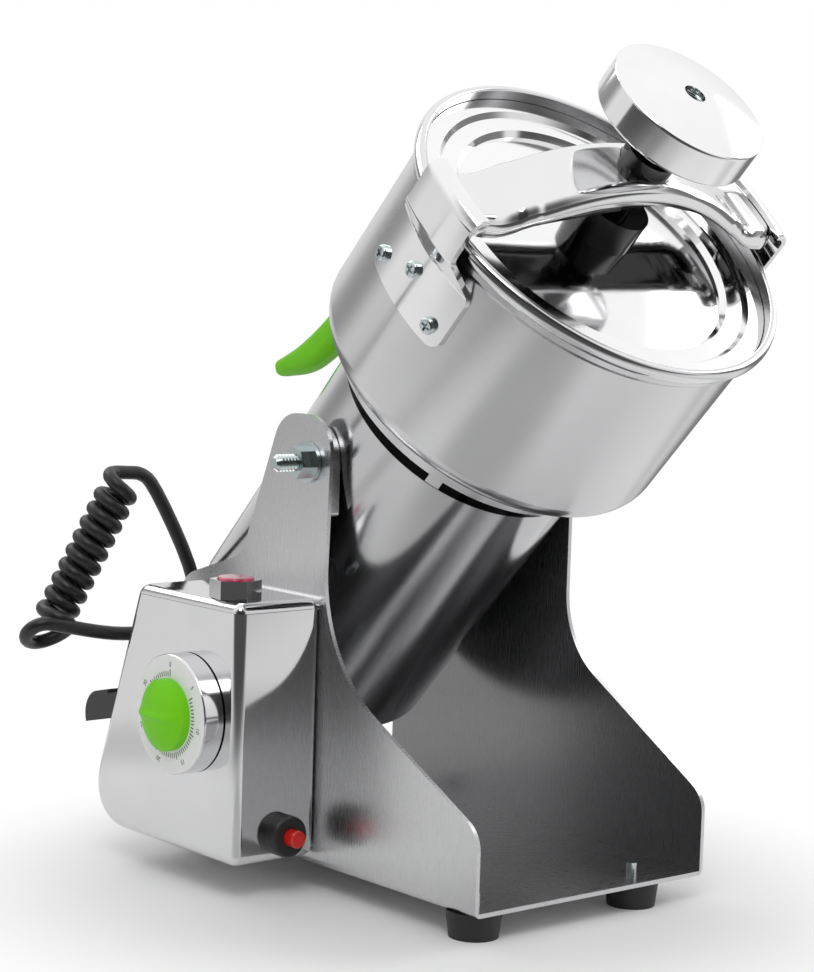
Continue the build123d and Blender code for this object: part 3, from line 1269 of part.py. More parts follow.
def make_leads():
    """Routes of the two plain stretches of cord: coil to box, and coil to the cap under the motor."""
    foot, foot_heading, top, top_heading = coil_ends()
    box_exit = Plane(rear_face_place(BOX_GLAND_RISE, BOX_GLAND_INSET) * Pos(0, 0, GLAND_REACH))
    cap_exit = Plane(HEAD * cap_gland_place() * Pos(0, 0, GLAND_REACH))
    to_box = [foot + foot_heading * FACE_GAP, foot + foot_heading * BOX_LEAD_START, *BOX_LEAD_ROUTE]
    to_box += [box_exit.origin + box_exit.z_dir * BOX_LEAD_END, box_exit.origin]
    to_cap = [top + top_heading * FACE_GAP, top + top_heading * CAP_LEAD_START, *CAP_LEAD_ROUTE]
    to_cap += [cap_exit.origin + cap_exit.z_dir * CAP_LEAD_END, cap_exit.origin]
    return to_box, to_cap


def head_parts():
    """Pieces of the tilting head, drawn about the head's axis."""
    upper, upper_seat = make_bracket(UPPER_BRACKET, True)
    lower, lower_seat = make_bracket(LOWER_BRACKET, False)
    lug = make_lug()
    parts = {
        "motor_tube": make_tube(),
        "tube_base_cap": make_cap(),
        "bowl_ring": make_ring(),
        "bowl": make_bowl(),
        "bowl_screws": make_bowl_screws(),
        "lug_left": Rot(0, 0, 180) * lug,
        "lug_right": lug,
        "lug_screws": make_lug_screws(),
        "handle": make_handle(),
        "handle_screws": make_handle_screws(),
        "stator_core": make_stator(),
        "field_coils": make_field_coils(),
        "upper_bracket": upper,
        "lower_bracket": lower,
        "bearings": group([make_bearing(upper_seat), make_bearing(lower_seat)]),
        "shaft_seal": make_seal(),
        "cord_gland_motor": cap_gland_place() * make_gland(),
        "clamp_bar": make_bar(),
        "bar_bush": make_bush(),
        "lid": make_lid(),
        "lid_gasket": make_gasket(),
        "lid_socket": make_socket(),
    }
    for more in (make_studs(), make_rotor(), make_brushes(), make_blades(), make_knob_set()):
        parts.update(more)
    return {name: HEAD * shape for name, shape in parts.items()}


def stand_parts():
    """Pieces that stay with the stand."""
    parts = {
        "stand_bracket": make_stand(),
        "pivot_pads": make_pads(),
        "rubber_feet": make_feet(),
        "foot_screws": make_foot_screws(),
        "control_box": make_box(),
        "box_screws": make_box_screws(),
        "cord_gland_box": rear_face_place(BOX_GLAND_RISE, BOX_GLAND_INSET) * make_gland(),
        "mains_gland": make_mains_gland(),
    }
    for more in (make_timer(), make_lamp(), make_breaker()):
        parts.update(more)
    return parts


def main():
    """Build every piece, set the whole on its floor centre and write one file per node."""
    os.makedirs("parts", exist_ok=True)
    parts = stand_parts() | head_parts()
    boxes = [shape.bounding_box() for shape in parts.values()]
    lows = [min(getattr(box.min, axis) for box in boxes) for axis in "XYZ"]
    highs = [max(getattr(box.max, axis) for box in boxes) for axis in "XYZ"]
    place = Pos(-(lows[0] + highs[0]) / 2, -(lows[1] + highs[1]) / 2, -lows[2])
    to_box, to_cap = make_leads()
    section = math.pi * CORD_DIAMETER ** 2 / 4
    coil, length = make_coil()
    cords = {"curly_cord": coil}
    print("curly_cord length", round(length, 1), "volume share", round(coil.volume / (section * length), 4))
    for name, route in (("cord_lead_box", to_box), ("cord_lead_motor", to_cap)):
        cords[name], radii, length = lead_tube(route)
        print(name, "radii", [round(radius, 1) for radius in radii], "length", round(length, 1))
        print(name, "volume over section times length", round(cords[name].volume / (section * length), 4))
    print("curly_cord least gap", round(coil_gap(), 2))
    for name, shape in (parts | cords).items():
        export_step(place * shape, f"parts/{name}.step")
    print("shift", place.position)
    print("pivot", (place * Pos(0, 0, PIVOT_HEIGHT)).position)
    axis = place * HEAD
    print("head axis point", axis.position, "direction", Plane(axis).z_dir)
    print("timer", (place * Pos(-BOX_OUTER, TIMER_Y, TIMER_Z)).position)
    print("nodes", len(parts) + len(cords))


main()
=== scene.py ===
"""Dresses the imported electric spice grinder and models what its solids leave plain.

Every solid takes a finish here. The threaded studs, the timer's print and grip, the folded control box, the
handle, the bowl's rolled rim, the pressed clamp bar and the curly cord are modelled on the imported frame.
"""

import json
import logging
import math
from collections.abc import Callable
from dataclasses import dataclass, field
from enum import Enum

import bpy
from mathutils import Matrix, Vector
from mathutils.kdtree import KDTree
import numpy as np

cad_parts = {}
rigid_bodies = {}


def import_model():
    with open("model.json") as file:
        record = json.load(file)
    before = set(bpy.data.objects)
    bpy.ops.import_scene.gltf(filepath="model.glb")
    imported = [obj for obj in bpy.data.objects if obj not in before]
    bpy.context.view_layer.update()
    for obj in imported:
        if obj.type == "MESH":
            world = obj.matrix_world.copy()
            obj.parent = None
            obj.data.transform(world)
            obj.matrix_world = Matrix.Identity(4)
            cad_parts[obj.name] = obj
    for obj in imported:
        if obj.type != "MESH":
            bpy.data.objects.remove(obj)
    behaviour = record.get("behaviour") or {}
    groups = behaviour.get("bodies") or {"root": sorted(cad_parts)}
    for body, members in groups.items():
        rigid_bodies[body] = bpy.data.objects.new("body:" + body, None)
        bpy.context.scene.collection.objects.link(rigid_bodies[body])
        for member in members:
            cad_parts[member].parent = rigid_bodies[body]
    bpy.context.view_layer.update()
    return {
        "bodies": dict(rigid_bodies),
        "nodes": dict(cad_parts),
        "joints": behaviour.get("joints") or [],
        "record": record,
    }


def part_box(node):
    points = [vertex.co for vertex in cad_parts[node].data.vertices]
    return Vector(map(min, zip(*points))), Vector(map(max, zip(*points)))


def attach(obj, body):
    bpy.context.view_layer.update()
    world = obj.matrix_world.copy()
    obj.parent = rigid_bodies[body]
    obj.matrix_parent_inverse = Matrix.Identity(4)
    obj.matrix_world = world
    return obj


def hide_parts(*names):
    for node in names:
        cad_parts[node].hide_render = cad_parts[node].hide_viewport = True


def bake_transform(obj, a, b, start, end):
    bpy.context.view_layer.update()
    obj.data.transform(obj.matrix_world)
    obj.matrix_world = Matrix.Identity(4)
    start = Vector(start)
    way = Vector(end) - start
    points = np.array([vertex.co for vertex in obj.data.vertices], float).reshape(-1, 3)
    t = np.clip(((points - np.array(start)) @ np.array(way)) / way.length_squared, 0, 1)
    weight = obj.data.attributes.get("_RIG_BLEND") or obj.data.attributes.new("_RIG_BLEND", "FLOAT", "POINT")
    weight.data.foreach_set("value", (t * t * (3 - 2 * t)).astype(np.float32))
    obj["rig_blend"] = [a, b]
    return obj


LOG = logging.getLogger("spice_grinder")
Cells = tuple[int, int]
Colour = tuple[float, float, float]
Point = tuple[float, float, float]
Range = tuple[float, float]
Node = bpy.types.Node
Piece = bpy.types.Object
Socket = bpy.types.NodeSocket

# The frame's unit, and the pivot and tilt of the head in millimetres and degrees
MM = 0.001
PIVOT_RISE = 197.0
HEAD_TILT = 43.6
HEAD_SETBACK = 5.6

# Colours that more than one material uses
BLACK = (0.0, 0.0, 0.0, 1.0)
WHITE = (1.0, 1.0, 1.0, 1.0)
# Painted shade for the bowl ring's slots and for the tube behind them
SLOT_SHADE = (0.006, 0.006, 0.006, 1.0)
# Painted shade for the inside of the clamp bar's channel
CHANNEL_SHADE = (0.05, 0.05, 0.051, 1.0)

# Point attribute that marks the inside of the clamp bar's channel, under the bar, for painted shade
SHADE_ATTRIBUTE = "underside"

# Angles in degrees past which an edge stays sharp, and sides of a bore
TURNED_EDGE = 25.0
FORMED_EDGE = 35.0
CORD_EDGE = 40.0
BORE_SIDES = 48

# Distance in metres within which a formed piece's points are merged
WELD = MM / 100


class Grain(Enum):
    """Which way the polishing lines of a metal run."""

    NONE = "none"
    SHEET = "across the sheet"
    SPUN = "round the head's axis"


class Wall(Enum):
    """Wall of the control box that a hole goes through."""

    SIDE = "side"
    TOP = "top"
    FRONT = "front"
    REAR = "rear"


class FinishName(Enum):
    """Names of the materials: the record's slots, and further finishes."""

    STAND = "stand_steel"
    BOWL = "bowl_steel"
    RING = "bowl_steel_ring"
    TUBE = "tube_steel"
    POLISHED = "polished_steel"
    SHADED = "polished_steel_shaded"
    PRESSED = "polished_steel_pressed"
    BOX = "polished_steel_box"
    RIM = "bowl_steel_rim"
    FASTENER = "bright_fasteners"
    BLADE = "blade_steel"
    GREEN = "green_plastic"
    DIAL = "dial_white"
    BEZEL = "bezel_chrome"
    LAMP = "lamp_red"
    BUTTON = "button_red"
    BLACK = "black_plastic"
    CORD = "cord_black"
    FOOT = "foot_rubber"
    GASKET = "gasket_rubber"
    IRON = "motor_iron"
    WINDING = "winding"
    ALLOY = "motor_alloy"
    BRACKET = "motor_alloy_dark"
    SHAFT = "shaft_steel"
    CARBON = "carbon"


@dataclass(frozen=True)
class Place:
    """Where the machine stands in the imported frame.

    Attributes:
        pivot: Middle of the head's pivot, in metres.
    """

    pivot: Vector

    def point(self, x: float, y: float, z: float) -> Vector:
        """Turns machine millimetres into a point of the frame.

        Args:
            x: To the right of the stand's middle.
            y: Behind the pivot.
            z: Above the floor.

        Returns:
            The point in metres.
        """
        return self.pivot + Vector((x, y, z - PIVOT_RISE)) * MM

    def head(self) -> Matrix:
        """Gives the frame of the tilted head: Z along its axis, from the pivot's level."""
        turn = Matrix.Rotation(math.radians(HEAD_TILT), 4, "X")
        return Matrix.Translation(self.pivot) @ turn @ Matrix.Translation((0, -HEAD_SETBACK * MM, 0))


@dataclass(frozen=True)
class Fade:
    """A tone that changes smoothly along a direction.

    Attributes:
        way: The direction.
        start: Where along it the tone starts to change.
        end: Where it has changed.
        after: Tone past the end.
        before: Tone up to the start.
    """

    way: Point
    start: float
    end: float
    after: float
    before: float = 1.0


class Nodes:
    """A node tree under construction, with short ways to add and join nodes."""

    def __init__(self, tree: bpy.types.NodeTree) -> None:
        """Takes the tree to build in.

        Args:
            tree: The tree.
        """
        self.tree = tree

    def add(self, kind: str, **values: object) -> Node:
        """Adds a node.

        Args:
            kind: The node's type name.
            **values: Properties to set on it.

        Returns:
            The new node.
        """
        node = self.tree.nodes.new(kind)
        for key, value in values.items():
            setattr(node, key, value)
        return node

    def feed(self, target: Socket, source: object) -> None:
        """Joins a socket to another one, or sets it to a plain value.

        Args:
            target: The socket to feed.
            source: Another socket, or a number, colour or vector.
        """
        if isinstance(source, bpy.types.NodeSocket):
            self.tree.links.new(source, target)
        else:
            target.default_value = source

    def math(self, operation: str, first: object, second: object) -> Socket:
        """Adds a Math node.

        Args:
            operation: Blender's name of the operation.
            first: First number or socket.
            second: Second number or socket.

        Returns:
            The result's socket.
        """
        node = self.add("ShaderNodeMath", operation=operation)
        self.feed(node.inputs[0], first)
        self.feed(node.inputs[1], second)
        return node.outputs[0]

    def vector(self, operation: str, first: Socket, second: object = (0.0, 0.0, 0.0)) -> Node:
        """Adds a Vector Math node.

        Args:
            operation: Blender's name of the operation.
            first: First vector's socket.
            second: Second vector, where the operation takes one.

        Returns:
            The node, with its outputs Vector and Value.
        """
        node = self.add("ShaderNodeVectorMath", operation=operation)
        self.feed(node.inputs[0], first)
        self.feed(node.inputs[1], second)
        return node

    def axes(self, vector: Socket) -> bpy.types.NodeOutputs:
        """Parts a vector.

        Args:
            vector: The vector's socket.

        Returns:
            The sockets X, Y and Z.
        """
        node = self.add("ShaderNodeSeparateXYZ")
        self.feed(node.inputs[0], vector)
        return node.outputs

    def spread(self, value: Socket, low: float, high: float, to_low: float, to_high: float) -> Socket:
        """Maps a value from one range smoothly to another.

        Args:
            value: The value's socket.
            low: Value that gives to_low.
            high: Value that gives to_high.
            to_low: Result at low.
            to_high: Result at high.

        Returns:
            The result's socket.
        """
        node = self.add("ShaderNodeMapRange", interpolation_type="SMOOTHSTEP")
        for key, number in zip(range(1, 5), (low, high, to_low, to_high)):
            node.inputs[key].default_value = number
        self.feed(node.inputs[0], value)
        return node.outputs[0]

    def faded(self, place: Socket, level: object, fades: tuple[Fade, ...]) -> Socket:
        """Lowers a tone by fades along directions.

        Args:
            place: A place or a direction.
            level: The tone to start from.
            fades: The fades.

        Returns:
            The tone's socket.
        """
        for fade in fades:
            way = Vector(fade.way).normalized()
            along = self.vector("DOT_PRODUCT", place, way).outputs["Value"]
            share = self.spread(along, fade.start, fade.end, fade.before, fade.after)
            level = self.math("MULTIPLY", level, share)
        return level

    def mix(self, share: object, first: object, second: object) -> Socket:
        """Mixes two colours.

        Args:
            share: How much of the second colour.
            first: First colour or socket.
            second: Second colour or socket.

        Returns:
            The mixed colour's socket.
        """
        node = self.add("ShaderNodeMix", data_type="RGBA")
        self.feed(node.inputs[0], share)
        self.feed(node.inputs[6], first)
        self.feed(node.inputs[7], second)
        return node.outputs[2]

    def either(self, share: Socket, first: Socket, second: Socket) -> Socket:
        """Mixes two shaders.

        Args:
            share: How much of the second shader.
            first: First shader.
            second: Second shader.

        Returns:
            The mixed shader's socket.
        """
        node = self.add("ShaderNodeMixShader")
        for target, source in zip(node.inputs, (share, first, second)):
            self.feed(target, source)
        return node.outputs[0]

    def noise(self, place: Socket, scale: object, detail: float, **values: object) -> Node:
        """Adds a Noise Texture.

        Args:
            place: Where it is read.
            scale: How fine it is.
            detail: How many finer layers it has.
            **values: Properties to set on the node.

        Returns:
            The node, with its output Fac.
        """
        node = self.add("ShaderNodeTexNoise", **values)
        self.feed(node.inputs["Vector"], place)
        self.feed(node.inputs["Scale"], scale)
        node.inputs["Detail"].default_value = detail
        return node


class Effects:
    """Shader node groups that more than one finish uses."""

    # Stretch of the polishing lines, and how their noise and the film's is made
    LINE_STRETCH = 0.02
    LINE_DETAIL = 4.0
    LINE_ROUGH = 0.7
    FILM_DETAIL = 5.0
    FILM_ROUGH = 0.6
    SKIN_DETAIL = 3.0

    def __init__(self) -> None:
        """Builds the groups once."""
        self.lines = self._lines()
        self.film = self._film()
        self.skin = self._skin()

    @staticmethod
    def _start(name: str, **inputs: float | None) -> tuple[Nodes, bpy.types.NodeOutputs, Socket]:
        """Starts a group that puts out one value.

        Args:
            name: Its name.
            **inputs: Its inputs with their defaults, or None for a place.

        Returns:
            Its nodes, its inputs' sockets and its output's socket.
        """
        tree = bpy.data.node_groups.new(name, "ShaderNodeTree")
        for key, value in inputs.items():
            kind = "NodeSocketVector" if value is None else "NodeSocketFloat"
            made = tree.interface.new_socket(key, in_out="INPUT", socket_type=kind)
            if value is not None:
                made.default_value = value
        tree.interface.new_socket("Value", in_out="OUTPUT", socket_type="NodeSocketFloat")
        nodes = Nodes(tree)
        given = nodes.add("NodeGroupInput").outputs
        return nodes, given, nodes.add("NodeGroupOutput").inputs["Value"]

    def _lines(self) -> bpy.types.NodeTree:
        """Makes polishing lines: fine across them and drawn out along them.

        Returns:
            The group.
        """
        nodes, given, out = self._start("polishing_lines", Across=0.0, Along=0.0, Fineness=2000.0)
        join = nodes.add("ShaderNodeCombineXYZ")
        for axis, key, stretch in (("X", "Across", 1.0), ("Y", "Along", self.LINE_STRETCH)):
            fine = nodes.math("MULTIPLY", given[key], given["Fineness"])
            nodes.feed(join.inputs[axis], nodes.math("MULTIPLY", fine, stretch))
        noise = nodes.noise(join.outputs[0], 1.0, self.LINE_DETAIL, noise_dimensions="2D")
        noise.inputs["Roughness"].default_value = self.LINE_ROUGH
        nodes.feed(out, noise.outputs["Fac"])
        return nodes.tree

    def _film(self) -> bpy.types.NodeTree:
        """Makes a handling film: soft patches that lift or lower a value a little round 1.

        Returns:
            The group.
        """
        nodes, given, out = self._start("handling_film", Place=None, Scale=12.0, Amount=0.1)
        noise = nodes.noise(given["Place"], given["Scale"], self.FILM_DETAIL)
        noise.inputs["Roughness"].default_value = self.FILM_ROUGH
        centred = nodes.math("SUBTRACT", noise.outputs["Fac"], 0.5)
        nodes.feed(out, nodes.math("ADD", nodes.math("MULTIPLY", centred, given["Amount"]), 1.0))
        return nodes.tree

    def _skin(self) -> bpy.types.NodeTree:
        """Makes a moulded skin: a fine even grain.

        Returns:
            The group.
        """
        nodes, given, out = self._start("moulded_skin", Place=None, Scale=1500.0)
        nodes.feed(out, nodes.noise(given["Place"], given["Scale"], self.SKIN_DETAIL).outputs["Fac"])
        return nodes.tree


class Shader(Nodes):
    """A material under construction."""

    def __init__(self, name: str) -> None:
        """Starts a material with a Principled shader and the piece's own coordinates.

        Args:
            name: The material's name.
        """
        self.material = bpy.data.materials.new(name)
        self.material.use_nodes = True
        super().__init__(self.material.node_tree)
        self.surface = self.tree.nodes["Principled BSDF"]
        self.source = self.add("ShaderNodeTexCoord")
        self.spot = self.source.outputs["Object"]

    def set(self, **values: object) -> None:
        """Sets the Principled shader's sockets, with underscores for spaces in their names."""
        for key, value in values.items():
            self.feed(self.surface.inputs[key.replace("_", " ")], value)

    def bump(self, height: Socket, strength: float, distance: float) -> Socket:
        """Adds relief.

        Args:
            height: The height's socket.
            strength: How strongly it shows.
            distance: Height of the relief in millimetres.

        Returns:
            The normal's socket.
        """
        node = self.add("ShaderNodeBump")
        node.inputs["Strength"].default_value = strength
        node.inputs["Distance"].default_value = distance * MM
        self.feed(node.inputs["Height"], height)
        return node.outputs["Normal"]


class PieceShader(Shader):
    """A piece's material, with the effects and the place that its finish reads."""

    # Film between which a colour goes from its deep to its pale tone
    FILM_LOW = 0.9
    FILM_HIGH = 1.1

    def __init__(self, name: str, effects: Effects, place: Place) -> None:
        """Starts the material.

        Args:
            name: The material's name.
            effects: The shared effects.
            place: Where the machine stands.
        """
        super().__init__(name)
        self.effects = effects
        self.place = place

    def group(self, tree: bpy.types.NodeTree, **inputs: object) -> Socket:
        """Places a shared effect.

        Args:
            tree: The effect's node group.
            **inputs: Values or sockets for its inputs.

        Returns:
            The effect's socket.
        """
        node = self.add("ShaderNodeGroup", node_tree=tree)
        for key, value in inputs.items():
            self.feed(node.inputs[key], value)
        return node.outputs[0]

    def film(self, scale: float, amount: float) -> Socket:
        """Places the handling film.

        Args:
            scale: How fine its patches are.
            amount: How far they lift or lower a value round 1.

        Returns:
            The film's socket.
        """
        return self.group(self.effects.film, Place=self.spot, Scale=scale, Amount=amount)

    def wander(self, film: Socket, colour: Colour, deep: float, pale: float, lift: float = 0.0) -> Socket:
        """Lets a colour wander with the film.

        Args:
            film: The film's socket.
            colour: The mean colour.
            deep: Factor of the deep tone.
            pale: Factor of the pale tone.
            lift: Added to the pale tone.

        Returns:
            The colour's socket.
        """
        share = self.spread(film, self.FILM_LOW, self.FILM_HIGH, 0.0, 1.0)
        low = (*(c * deep for c in colour), 1.0)
        high = (*(min(1.0, c * pale + lift) for c in colour), 1.0)
        return self.mix(share, low, high)

    def in_head(self) -> Socket:
        """Turns the piece's coordinates into the head's frame.

        Returns:
            The turned coordinates' socket, with Z along the head's axis.
        """
        turn = self.add("ShaderNodeMapping", vector_type="TEXTURE")
        turn.inputs["Location"].default_value = self.place.head().translation
        turn.inputs["Rotation"].default_value = (math.radians(HEAD_TILT), 0.0, 0.0)
        self.feed(turn.inputs["Vector"], self.spot)
        return turn.outputs[0]


@dataclass(frozen=True)
class Finish:
    """A finish that is made into one material."""

    def make(self, name: str, effects: Effects, place: Place) -> bpy.types.Material:
        """Builds the material.

        Args:
            name: Its name.
            effects: The shared effects.
            place: Where the machine stands.

        Returns:
            The material.
        """
        shader = PieceShader(name, effects, place)
        self.paint(shader)
        return shader.material

    def paint(self, shader: PieceShader) -> None:
        """Sets up the shader, in each finish's own way.

        Args:
            shader: The material under construction.
        """
        raise NotImplementedError


@dataclass(frozen=True)
class Steel(Finish):
    """A metal finish.

    Attributes:
        colour: Reflected colour.
        rough: Mean roughness.
        grain: Which way its lines run.
        depth: How strongly the lines show.
        fineness: Lines' frequency.
        stretch: Anisotropy of the highlight.
        film: How much roughness and colour wander.
        dark_within: Radius round the head's axis, in millimetres, inside which it takes painted shade.
        dark_above: Height along the head's axis, in millimetres, above which it takes painted shade.
        mark: Point attribute that marks where painted shade goes: the inside of the clamp bar's channel.
        inner: Colour of painted shade on faces that look in towards the stand's middle.
        inward: Offset times normal along X, in metres, between which that painted shade fades out.
        film_scale: How fine the film is.
        deep: Factor of the film's deep tone.
        pale: Factor of its pale tone.
        line_range: Values of the lines between which the roughness spreads.
        line_relief: Strength of the lines' relief for a depth of 1.
        line_height: Height of that relief, in millimetres.
        line_drift: How slowly spun lines change round the axis.
        blur: Half width of the painted shade's soft edge, in millimetres.
    """

    colour: Colour
    rough: float
    grain: Grain = Grain.NONE
    depth: float = 0.0
    fineness: float = 2500.0
    stretch: float = 0.0
    film: float = 0.25
    dark_within: float = 0.0
    dark_above: float = 0.0
    mark: str = ""
    inner: Colour | None = None
    inward: Range = (-0.05, -0.02)
    film_scale: float = 14.0
    deep: float = 0.94
    pale: float = 1.05
    line_range: Range = (0.25, 0.75)
    line_relief: float = 0.10
    line_height: float = 0.03
    line_drift: float = 0.02
    blur: float = 0.1

    def paint(self, shader: PieceShader) -> None:
        """Sets up a metal with its painted shade, film and lines.

        Args:
            shader: The material under construction.
        """
        film = shader.film(self.film_scale, self.film)
        rough = shader.math("MULTIPLY", film, self.rough)
        colour = shader.wander(film, self.colour, self.deep, self.pale)
        if self.dark_within:
            colour = shader.mix(self._inside(shader), colour, SLOT_SHADE)
        if self.dark_above:
            colour = shader.mix(self._above(shader), colour, SLOT_SHADE)
        if self.inner:
            colour = shader.mix(self._inward(shader), colour, (*self.inner, 1.0))
        if self.mark:
            marked = shader.add("ShaderNodeAttribute", attribute_name=self.mark).outputs["Fac"]
            colour = shader.mix(marked, colour, CHANNEL_SHADE)
        shader.set(Metallic=1.0, Base_Color=colour)
        if self.grain is not Grain.NONE:
            across, along, lead = self._ways(shader)
            group = shader.effects.lines
            lines = shader.group(group, Across=across, Along=along, Fineness=self.fineness)
            spread = shader.spread(lines, *self.line_range, 1.0 - self.depth, 1.0 + self.depth)
            rough = shader.math("MULTIPLY", rough, spread)
            shader.set(Normal=shader.bump(lines, self.line_relief * self.depth, self.line_height))
            shader.set(Anisotropic=self.stretch, Tangent=lead)
        shader.set(Roughness=rough)

    def _above(self, shader: PieceShader) -> Socket:
        """Marks the painted shade: what lies higher along the head's axis than dark_above.

        Args:
            shader: The material under construction.

        Returns:
            The mark's socket, 1 above.
        """
        low, high = (self.dark_above - self.blur) * MM, (self.dark_above + self.blur) * MM
        return shader.spread(shader.axes(shader.in_head())["Z"], low, high, 0.0, 1.0)

    def _inside(self, shader: PieceShader) -> Socket:
        """Marks the painted shade: what lies nearer to the head's axis than dark_within.

        Args:
            shader: The material under construction.

        Returns:
            The mark's socket, 1 inside.
        """
        flat = shader.vector("MULTIPLY", shader.in_head(), (1.0, 1.0, 0.0)).outputs["Vector"]
        away = shader.vector("LENGTH", flat).outputs["Value"]
        low, high = (self.dark_within - 2 * self.blur) * MM, self.dark_within * MM
        return shader.spread(away, low, high, 1.0, 0.0)

    def _inward(self, shader: PieceShader) -> Socket:
        """Marks faces of the stand's plates that look in towards its middle, which take painted shade.

        Args:
            shader: The material under construction.

        Returns:
            The mark's socket, 1 on the inner faces.
        """
        off = shader.math("SUBTRACT", shader.axes(shader.spot)["X"], shader.place.pivot.x)
        way = shader.axes(shader.source.outputs["Normal"])["X"]
        return shader.spread(shader.math("MULTIPLY", off, way), *self.inward, 1.0, 0.0)

    def _ways(self, shader: PieceShader) -> tuple[Socket, Socket, Socket]:
        """Finds the ways across and along the lines and the way the highlight spreads.

        Args:
            shader: The material under construction.

        Returns:
            Sockets of the distance across, the distance along and the spread's direction.
        """
        lead = shader.add("ShaderNodeVectorTransform", vector_type="VECTOR")
        lead.convert_from, lead.convert_to = "OBJECT", "WORLD"
        if self.grain is Grain.SPUN:
            lead.inputs[0].default_value = shader.place.head().col[2].to_3d()
            parts = shader.axes(shader.in_head())
            drift = shader.math("MULTIPLY", parts["X"], self.line_drift)
            return parts["Z"], drift, lead.outputs[0]
        lead.inputs[0].default_value = (0.0, 1.0, 0.0)
        parts = shader.axes(shader.spot)
        return parts["Y"], shader.math("ADD", parts["X"], parts["Z"]), lead.outputs[0]


@dataclass(frozen=True)
class Moulding(Finish):
    """A plastic or rubber finish.

    Attributes:
        colour: Base colour.
        rough: Mean roughness.
        skin: Frequency of the moulded skin.
        relief: How strongly the skin shows.
        film: How much roughness and tone wander.
        coat: Gloss over the colour.
        shine: Level of the surface's own reflection.
        skin_height: Height of the skin's relief, in millimetres.
        film_scale: How fine the film is.
        deep: Factor of the film's deep tone.
        pale: Factor of its pale tone.
        lift: Added to the pale tone.
        coat_rough: Roughness of the gloss.
    """

    colour: Colour
    rough: float
    skin: float = 1500.0
    relief: float = 0.1
    film: float = 0.3
    coat: float = 0.0
    shine: float = 0.5
    skin_height: float = 0.08
    film_scale: float = 30.0
    deep: float = 0.92
    pale: float = 1.08
    lift: float = 0.002
    coat_rough: float = 0.12

    def paint(self, shader: PieceShader) -> None:
        """Sets up a moulded surface with its skin and film.

        Args:
            shader: The material under construction.
        """
        film = shader.film(self.film_scale, self.film)
        skin = shader.group(shader.effects.skin, Place=shader.spot, Scale=self.skin)
        shader.set(Base_Color=shader.wander(film, self.colour, self.deep, self.pale, self.lift))
        shader.set(Roughness=shader.math("MULTIPLY", film, self.rough))
        shader.set(Normal=shader.bump(skin, self.relief, self.skin_height))
        shader.set(Coat_Weight=self.coat, Coat_Roughness=self.coat_rough, Specular_IOR_Level=self.shine)


@dataclass(frozen=True)
class DialFinish(Finish):
    """White printed face with a bright side wall.

    Attributes:
        white: Colour of the face.
        bright: Colour of the side wall.
        facing: Normals along X between which the face turns into the wall.
        rough: Roughness of the wall and of the face.
        film_scale: How fine the film is.
        film: How much the roughness wanders.
    """

    white: Colour = (0.80, 0.80, 0.80)
    bright: Colour = (0.78, 0.78, 0.79)
    facing: Range = (-0.95, -0.55)
    rough: Range = (0.12, 0.38)
    film_scale: float = 40.0
    film: float = 0.15

    def paint(self, shader: PieceShader) -> None:
        """Sets up the white face and the bright wall.

        Args:
            shader: The material under construction.
        """
        way = shader.axes(shader.source.outputs["Normal"])["X"]
        face = shader.spread(way, *self.facing, 1.0, 0.0)
        shader.set(Base_Color=shader.mix(face, (*self.bright, 1.0), (*self.white, 1.0)))
        shader.set(Metallic=shader.math("SUBTRACT", 1.0, face))
        rough = shader.spread(face, 0.0, 1.0, *self.rough)
        film = shader.film(self.film_scale, self.film)
        shader.set(Roughness=shader.math("MULTIPLY", rough, film))


@dataclass(frozen=True)
class LensFinish(Finish):
    """Clear red lamp lens with a faceted glow under it.

    Attributes:
        deep: Colour in the facets' shadows.
        lit: Colour of their lit sides.
        cells: How fine the facets are.
        cell_range: Distances from a facet's middle between which it lights up.
        relief: Strength of the facets' relief.
        relief_height: Height of that relief, in millimetres.
        rough: Mean roughness.
        film_scale: How fine the film is.
        film: How much the roughness wanders.
        coat: Gloss over the lens.
        coat_rough: Roughness of the gloss.
        clear: How much light goes through.
    """

    deep: Colour = (0.34, 0.010, 0.045)
    lit: Colour = (0.72, 0.10, 0.20)
    cells: float = 260.0
    cell_range: Range = (0.1, 0.7)
    relief: float = 0.35
    relief_height: float = 0.4
    rough: float = 0.14
    film_scale: float = 80.0
    film: float = 0.2
    coat: float = 0.5
    coat_rough: float = 0.06
    clear: float = 0.15

    def paint(self, shader: PieceShader) -> None:
        """Sets up the lens and its facets.

        Args:
            shader: The material under construction.
        """
        cells = shader.add("ShaderNodeTexVoronoi", feature="F1")
        cells.inputs["Scale"].default_value = self.cells
        shader.feed(cells.inputs["Vector"], shader.spot)
        facet = shader.spread(cells.outputs["Distance"], *self.cell_range, 0.0, 1.0)
        shader.set(Base_Color=shader.mix(facet, (*self.deep, 1.0), (*self.lit, 1.0)))
        film = shader.film(self.film_scale, self.film)
        shader.set(Roughness=shader.math("MULTIPLY", film, self.rough))
        shader.set(Normal=shader.bump(facet, self.relief, self.relief_height))
        shader.set(Coat_Weight=self.coat, Coat_Roughness=self.coat_rough, Transmission_Weight=self.clear)


